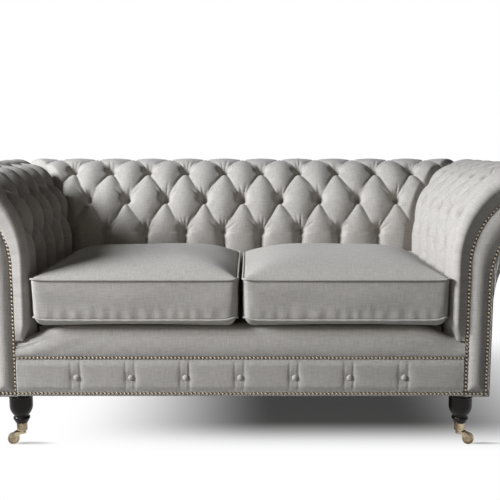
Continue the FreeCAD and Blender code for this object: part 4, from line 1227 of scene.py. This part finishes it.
def swell(piece, pinned):
    """Blows the case up a little with Cloth, its seams held, and keeps each point near where it was."""
    group = piece.vertex_groups.new(name="seams")
    group.add([int(index) for index in pinned], 1.0, "REPLACE")
    cloth = piece.modifiers.new("cloth", "CLOTH")
    set_all(cloth.settings, SWELL_SETTINGS)
    cloth.settings.effector_weights.gravity = 0.0
    cloth.collision_settings.use_collision = False
    cloth.point_cache.frame_end = SWELL_FRAMES
    start = points_of(piece)
    for number in range(1, SWELL_FRAMES + 1):
        bpy.context.scene.frame_set(number)
    seen = piece.evaluated_get(bpy.context.evaluated_depsgraph_get())
    blown = np.empty(len(start) * 3)
    seen.data.vertices.foreach_get("co", blown)
    piece.modifiers.remove(cloth)
    piece.vertex_groups.clear()
    bpy.context.scene.frame_set(1)
    move = blown.reshape(-1, 3) - start
    far = np.linalg.norm(move, axis=1, keepdims=True)
    print(f"{piece.name}: cloth moved up to {far.max() * 1000:.1f} mm")
    move *= np.minimum(1.0, SWELL_CAP / np.maximum(far, 1e-9))
    move_points(piece, start + move)


print(f"cloth runs for {SWELL_FRAMES} frames")

# %% [markdown]
# The corners are then drawn out at the upper seam and tucked in at the lower one, small gathers stand
# along the lower seam, and the front and the crown are made a little uneven. Piping, a cord in a bias
# strip, runs along both seams. Each cushion rides on its own body, so it can be lifted out.

# %% Seat cushions
CUSHION_WIDER = 0.007
CUSHION_FORWARD = 0.012
# What each seam does to the corners: its height, reach along it, reach up, the pull out, the pull up
CORNER_PULLS = ((SEAM_HIGH, 0.016, 0.030, 0.0035, 0.0040), (SEAM_LOW, 0.014, 0.025, -0.0030, 0.0120))
FRONT_REACH = 0.03
GATHER_UP, GATHER_TALL = 0.012, 0.016
GATHER_DEEP, GATHER_CLOSE = 0.0011, 520.0
FRONT_WAVE, CROWN_WAVE = 0.0022, 0.0022
CROWN_FROM, CROWN_FULL = 0.012, 0.02
FOOT_CLEAR = 0.0002
PIPING_R = 0.0030
PIPING_OUT = 0.0010
PIPING_SIDES = 10
PIPING_BIAS, PIPING_WRAP = 0.7, 0.0024
CUSHION_SEEDS = {"left": 0.7, "right": 3.4}


def seat_cushion(word, seed):
    low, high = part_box(f"{word}_cushion_cover")
    low.x -= CUSHION_WIDER if word == "left" else 0.0
    high.x += CUSHION_WIDER if word == "right" else 0.0
    low.y -= CUSHION_FORWARD
    points, faces, weave, seams = cushion_case(low, high)
    piece = from_faces(f"{word}_seat_cushion", points, faces)
    layer = piece.data.uv_layers.new(name="weave")
    layer.data.foreach_set("uv", weave.ravel())
    swell(piece, np.concatenate(seams))
    points = points_of(piece)
    away = points[:, :2] - ((low.x + high.x) / 2, (low.y + high.y) / 2)
    past_x = np.abs(away[:, 0]) - (high.x - low.x) / 2
    past_y = np.abs(away[:, 1]) - (high.y - low.y) / 2
    corner = np.minimum(past_x, past_y)
    for seam, reach, tall, outwards, upwards in CORNER_PULLS:
        pull = np.exp(corner / reach) * np.exp(-np.abs(points[:, 2] - seam) / tall)
        points[:, :2] += np.sign(away) * (outwards * pull)[:, None]
        points[:, 2] += upwards * pull
    front_share = ease((low.y + FRONT_REACH - points[:, 1]) / FRONT_REACH)
    x = points[:, 0]
    gather = np.exp(-((points[:, 2] - SEAM_LOW - GATHER_UP) / GATHER_TALL) ** 2) * front_share
    points[:, 1] -= GATHER_DEEP * gather * np.sin(x * GATHER_CLOSE + 3.0 * ripple(x * 14.0, 0.0, seed))
    band_share = np.clip((points[:, 2] - SEAM_LOW) / (SEAM_HIGH - SEAM_LOW), 0.0, 1.0)
    panel = np.sin(math.pi * band_share) * front_share
    points[:, 1] -= FRONT_WAVE * panel * ripple(x * 10.0, points[:, 2] * 26.0, seed)
    crown_share = ease((points[:, 2] - SEAM_HIGH - CROWN_FROM) / CROWN_FULL)
    points[:, 2] += CROWN_WAVE * crown_share * ripple(x * 9.0, points[:, 1] * 8.0, seed + 2.0)
    points[:, 2] = np.maximum(points[:, 2], low.z + FOOT_CLEAR)
    move_points(piece, points)
    apply(piece, "SUBSURF", levels=1, render_levels=1)
    return piece, [points[seam] for seam in seams]


def piping(name, rims):
    """A cord in a bias strip, sewn into each seam."""
    points, faces, weave = [], [], []
    for rim in rims:
        ahead = np.roll(rim, -1, axis=0) - np.roll(rim, 1, axis=0)
        ahead[:, 2] = 0.0
        ahead /= np.linalg.norm(ahead, axis=1, keepdims=True)
        outward = np.column_stack([ahead[:, 1], -ahead[:, 0], 0.0 * ahead[:, 0]])
        around = np.concatenate([[0.0], np.cumsum(np.linalg.norm(np.diff(rim, axis=0), axis=1))])
        first = sum(len(part) for part in points)
        for k in range(PIPING_SIDES):
            angle = 2.0 * math.pi * k / PIPING_SIDES
            off = outward * (PIPING_OUT + PIPING_R * math.cos(angle))
            points.append(rim + off + np.array([0.0, 0.0, PIPING_R * math.sin(angle)]))
            bias, wrap = around * PIPING_BIAS, PIPING_WRAP * k
            weave.append(np.column_stack([bias + wrap, bias - wrap]))
        loops = first + np.arange(PIPING_SIDES * len(rim)).reshape(PIPING_SIDES, -1)
        faces += quads(np.concatenate([loops, loops[:1]]))[:, [0, 3, 2, 1]].tolist()
    piece = from_faces(name, np.concatenate(points), faces)
    lay_weave(piece, np.concatenate(weave))
    weld(piece, 0.00001)
    apply(piece, "SUBSURF", levels=1, render_levels=1)
    return piece


for word, seed in CUSHION_SEEDS.items():
    cushion, rims = seat_cushion(word, seed)
    dress(cushion, f"{word}_cushion_cover", body=f"{word}_cushion", smooth=50.0)
    cords = piping(f"{word}_seam_piping", rims)
    dress(cords, f"{word}_cushion_piping", body=f"{word}_cushion", smooth=180.0)

# %% [markdown]
# The outside of the arms and of the back is plain cloth over thin wadding, drawn tight from the base
# to the underside of the roll. Each panel follows the flare, swells a little in the middle and is cut
# at the mitre like the pads.

# %% Outside panels
PANEL_THICK = 0.006
PANEL_SWELL = 0.0022
PANEL_STEP, PANEL_COLUMN = 0.012, 0.020
PANEL_EDGE = 0.03
PANEL_WAVE = 0.0006
PANEL_CLEAR = 0.0003
LINE_CLEAR = 0.0004
ARM_PANEL_FROM, ARM_PANEL_TO = FACING_THICK - 0.0005, 0.88


def outside_panel(name, along, place):
    line = evenly(flare_line(-LINE_CLEAR, 0.0, base_z)[::-1], PANEL_STEP)
    ahead = np.gradient(line, axis=0)
    ahead /= np.linalg.norm(ahead, axis=1, keepdims=True)
    outward = np.column_stack([ahead[:, 1], -ahead[:, 0]])
    rise = np.sin(math.pi * np.linspace(0.0, 1.0, len(line))) ** 0.6
    wide, row = np.meshgrid(along, np.arange(len(line)))
    edge = ease((wide - along[0]) / PANEL_EDGE)
    wave = PANEL_WAVE * ripple(wide * 6.0, line[row][..., 1] * 9.0, 1.7) * rise[row]
    swell_by = PANEL_SWELL * rise[row] * edge + wave
    outer = line[row] + outward[row] * swell_by[..., None]
    inner = (line[row] - outward[row] * PANEL_THICK)[::-1]
    path = np.concatenate([outer, inner, outer[:1]])
    spread = np.broadcast_to(along, path.shape[:2])
    lengths = np.linspace(0.0, 2 * len(line) * PANEL_STEP, len(path))[:, None] + 0.0 * spread
    places = place(spread, path[..., 0], path[..., 1])
    piece = cloth_grid(name, places, np.stack([spread, lengths], axis=-1))
    weld(piece)
    return piece


outside_back = outside_panel("outside_back_cover", back_columns(PANEL_COLUMN), on_back)
for _, side in SIDES:
    cut_mitre(outside_back, side, 1, PANEL_CLEAR)
close_ends(outside_back)
dress(outside_back, "outside_back_panel", smooth=60.0)
arm_columns = np.arange(ARM_PANEL_FROM, ARM_PANEL_TO, PANEL_COLUMN)
for word, side in SIDES:
    outside_arm = outside_panel(f"outside_{word}_arm_cover", arm_columns, on_side(side))
    cut_mitre(outside_arm, side, -1, PANEL_CLEAR)
    close_ends(outside_arm)
    dress(outside_arm, f"{word}_outside_arm_panel", smooth=60.0)

# %% [markdown]
# Under the cushions lies the deck, a fibre pad in plain platform cloth. A cube is set to the size of
# its solid, its edges are rounded, and its top is crowned so that it is highest in the middle.

# %% Seat deck
DECK_DROP, DECK_SLOPE = 0.010, 0.12
DECK_ROUND = 0.012


def seat_deck():
    low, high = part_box("seat_deck")
    size = high - low
    piece = begin(bpy.ops.mesh.primitive_cube_add, "seat_platform", size=1.0)
    open_mesh(piece)
    bpy.ops.transform.resize(value=size)
    bpy.ops.transform.translate(value=(low + high) / 2)
    bpy.ops.mesh.subdivide(number_cuts=9)
    bpy.ops.mesh.subdivide(number_cuts=1)
    close_mesh()
    points = points_of(piece)
    edge = np.minimum(size.x / 2 - np.abs(points[:, 0]), high.y - points[:, 1])
    drop = DECK_DROP * (1.0 - ease(edge / DECK_SLOPE))
    points[:, 2] -= np.where(points[:, 2] > high.z - 0.001, drop, 0.0)
    move_points(piece, points)
    lay_weave(piece, points[:, :2] + points[:, 2:])
    sharp = math.radians(50.0)
    apply(piece, "BEVEL", width=DECK_ROUND, segments=3, limit_method="ANGLE", angle_limit=sharp)
    return piece


deck = seat_deck()
dress(deck, "seat_deck", slot="platform_cloth", smooth=50.0)

# %% [markdown]
# A thin black cloth is stapled under the frame to keep dust in. It is one sheet, cut out round the
# feet, that hangs a few millimetres lower where nothing holds it.

# %% Dust cover
DUST_COLUMNS, DUST_ROWS = 121, 61
DUST_CLEAR = 0.0003
DUST_SAG, DUST_SLOPE = 0.003, 0.25
DUST_THICK = 0.0008
FOOT_HOLE = 0.004


def dust_cover():
    low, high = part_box("dust_cover")
    columns, rows = np.linspace(low.x, high.x, DUST_COLUMNS), np.linspace(low.y, high.y, DUST_ROWS)
    x, y = np.meshgrid(columns, rows)
    edge = np.minimum(np.minimum(x - low.x, high.x - x), np.minimum(y - low.y, high.y - y))
    z = high.z - DUST_CLEAR - DUST_SAG * ease(edge / DUST_SLOPE)
    piece = cloth_grid("black_dust_cover", np.stack([x, y, z], axis=-1), np.stack([x, y], axis=-1))
    feet = [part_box(f"{word}_{end}_foot") for word, _ in SIDES for end in ("front", "rear")]

    def over_a_foot(face):
        return any(
            all(foot[0][axis] - FOOT_HOLE < face.center[axis] < foot[1][axis] + FOOT_HOLE for axis in (0, 1))
            for foot in feet
        )

    open_faces(piece, over_a_foot)
    bpy.ops.mesh.delete(type="FACE")
    close_mesh()
    apply(piece, "SOLIDIFY", thickness=DUST_THICK, offset=-1.0)
    return piece, high - low


dust, dust_size = dust_cover()
dress(dust, "dust_cover", slot="black_cloth", smooth=50.0)

# The models that the copies were made from are not pieces of the sofa
for model in (button, nail):
    bpy.data.objects.remove(model)
print("models removed")

# %% [markdown]
# The floor is pale. Near the sofa it lies in a grey pool whose place and soft edges are painted shade,
# and in it the rendered shadow shows; further out it turns into the white of the background. A narrow
# grey patch beside each castor is a painted shadow of its wheel.

# %% Floor
# Each edge of the painted shade pool on the floor: its axis, where the floor is white, and where
# it is in full shade
SHADE_EDGES = (("X", -0.58, 0.11), ("X", 1.35, 0.48), ("Y", -0.44, -0.18), ("Y", 0.95, 0.45))
SHADE_MOST = 0.95
WHEEL_X, WHEEL_Y = 0.641, -0.366
# The painted wheel shadows: how far aside of each wheel, their length and width, core and darkest
WHEEL_SHADOW_ASIDE, WHEEL_SHADOW_LONG, WHEEL_SHADOW_WIDE = 0.050, 0.085, 0.016
WHEEL_SHADOW_CORE, WHEEL_SHADOW_MOST = 0.2, 0.6
FLOOR_SIZE = 30.0
WHITE = (1.0, 1.0, 1.0, 1.0)


def floor_material():
    grey = {"Base_Color": paint("#a6a6a6"), "Roughness": 0.9, "Specular_IOR_Level": 0.1}
    material, tree, shader = new_material("pale_floor", **grey)
    place = add(tree, "ShaderNodeTexCoord").outputs["Object"]
    axes = add(tree, "ShaderNodeSeparateXYZ", {"Vector": place}).outputs
    # Painted shade: inside these edges little white is let in, so the floor is grey even where lit
    shade = 1.0
    for axis, white_at, dark_at in SHADE_EDGES:
        limits = {"Value": axes[axis], "From Min": white_at, "From Max": dark_at}
        edge = add(tree, "ShaderNodeMapRange", limits, interpolation_type="SMOOTHSTEP")
        shade = add(tree, "ShaderNodeMath", {0: shade, 1: edge}, operation="MULTIPLY")
    # A painted wheel shadow: a narrow grey patch beside each castor, whether or not the wheel shades it
    for _, side in SIDES:
        middle = (side * WHEEL_X + WHEEL_SHADOW_ASIDE, WHEEL_Y, 0.0)
        patch = {"Vector": place, "Location": middle, "Scale": (WHEEL_SHADOW_LONG, WHEEL_SHADOW_WIDE, 1.0)}
        from_wheel = add(tree, "ShaderNodeMapping", patch, vector_type="TEXTURE")
        away = add(tree, "ShaderNodeVectorMath", {0: from_wheel}, operation="LENGTH").outputs["Value"]
        limits = {"Value": away, "From Min": 1.0, "From Max": WHEEL_SHADOW_CORE, "To Max": WHEEL_SHADOW_MOST}
        painted_wheel_shadow = add(tree, "ShaderNodeMapRange", limits, interpolation_type="SMOOTHSTEP")
        shade = add(tree, "ShaderNodeMath", {0: shade, 1: painted_wheel_shadow}, operation="MAXIMUM")
    fade = add(tree, "ShaderNodeMapRange", {"Value": shade, "To Min": 1.0, "To Max": 1.0 - SHADE_MOST})
    rays = add(tree, "ShaderNodeLightPath").outputs
    direct = {0: rays["Is Camera Ray"], 1: rays["Is Glossy Ray"]}
    seen = add(tree, "ShaderNodeMath", direct, operation="MAXIMUM")
    white_share = add(tree, "ShaderNodeMath", {0: fade, 1: seen}, operation="MULTIPLY")
    white = add(tree, "ShaderNodeEmission", {"Color": WHITE, "Strength": 1.0})
    mixed = add(tree, "ShaderNodeMixShader", {0: white_share, 1: shader, 2: white})
    add(tree, tree.nodes["Material Output"], {"Surface": mixed})
    return material


floor = begin(bpy.ops.mesh.primitive_plane_add, "floor", size=FLOOR_SIZE)
floor.data.materials.append(floor_material())
print("floor ready")

# %% [markdown]
# Plain soft daylight: a large key lamp on the left that stands above the arms, a weak fill from the
# front, a lamp for gloss alone, and a world that is white to the eye and gives little light.

# %% Lamps and world
WORLD_LEVEL = 0.012
SHEEN_LEVEL = 0.45


def lamp(name, place, target, size, power, colour, gloss_only=False):
    data = bpy.data.lights.new(name, "AREA")
    data.shape = "DISK"
    data.size = size
    data.energy = power
    data.color = paint(colour)[:3]
    piece = in_scene(name, data)
    piece.location = place
    piece.rotation_euler = (Vector(target) - Vector(place)).to_track_quat("-Z", "Y").to_euler()
    piece.visible_diffuse = not gloss_only


def pale_world():
    world = bpy.data.worlds.new("pale_world")
    bpy.context.scene.world = world
    world.use_nodes = True
    tree = world.node_tree
    rays = add(tree, "ShaderNodeLightPath").outputs
    sheen = {0: rays["Is Glossy Ray"], 1: SHEEN_LEVEL, 2: rays["Is Camera Ray"]}
    seen = add(tree, "ShaderNodeMath", sheen, operation="MULTIPLY_ADD")
    strength = add(tree, "ShaderNodeMapRange", {"Value": seen, "To Min": WORLD_LEVEL, "To Max": 1.0})
    add(tree, tree.nodes["Background"], {"Color": WHITE, "Strength": strength})


pale_world()
lamp("key_lamp", (-5.50, -2.02, 3.41), (0.0, 0.0, 0.45), 2.1, 850.0, "#f5f8ff")
lamp("fill_lamp", (-0.35, -1.9, 1.00), (-0.1, -0.2, 0.45), 1.2, 2.5, "#fff1e0")
lamp("gloss_lamp", (-1.0, -2.6, 1.0), (0.0, 0.0, 0.2), 0.9, 18.0, "#ffffff", gloss_only=True)
print("lamps and world ready")

# %% [markdown]
# The camera stands where the photo's did: in front of the sofa, a little right of its middle and
# above it, looking slightly down.

# %% Camera
LOOK_DOWN = 7.7
CAMERA_X, CAMERA_AWAY, CAMERA_Z = 0.026, 2.090, 0.842
FOCAL_PIXELS = 790.0
FRAME_PIXELS = 500.0
SENSOR = 36.0

camera_data = bpy.data.cameras.new("camera")
camera = in_scene("camera", camera_data)
camera.location = (CAMERA_X, front_y - CAMERA_AWAY, CAMERA_Z)
camera.rotation_euler = (math.radians(90.0 - LOOK_DOWN), 0.0, 0.0)
camera_data.sensor_width = SENSOR
camera_data.lens = FOCAL_PIXELS / FRAME_PIXELS * SENSOR
bpy.context.scene.camera = camera
bpy.context.scene.view_settings.view_transform = "Standard"
print("camera ready")
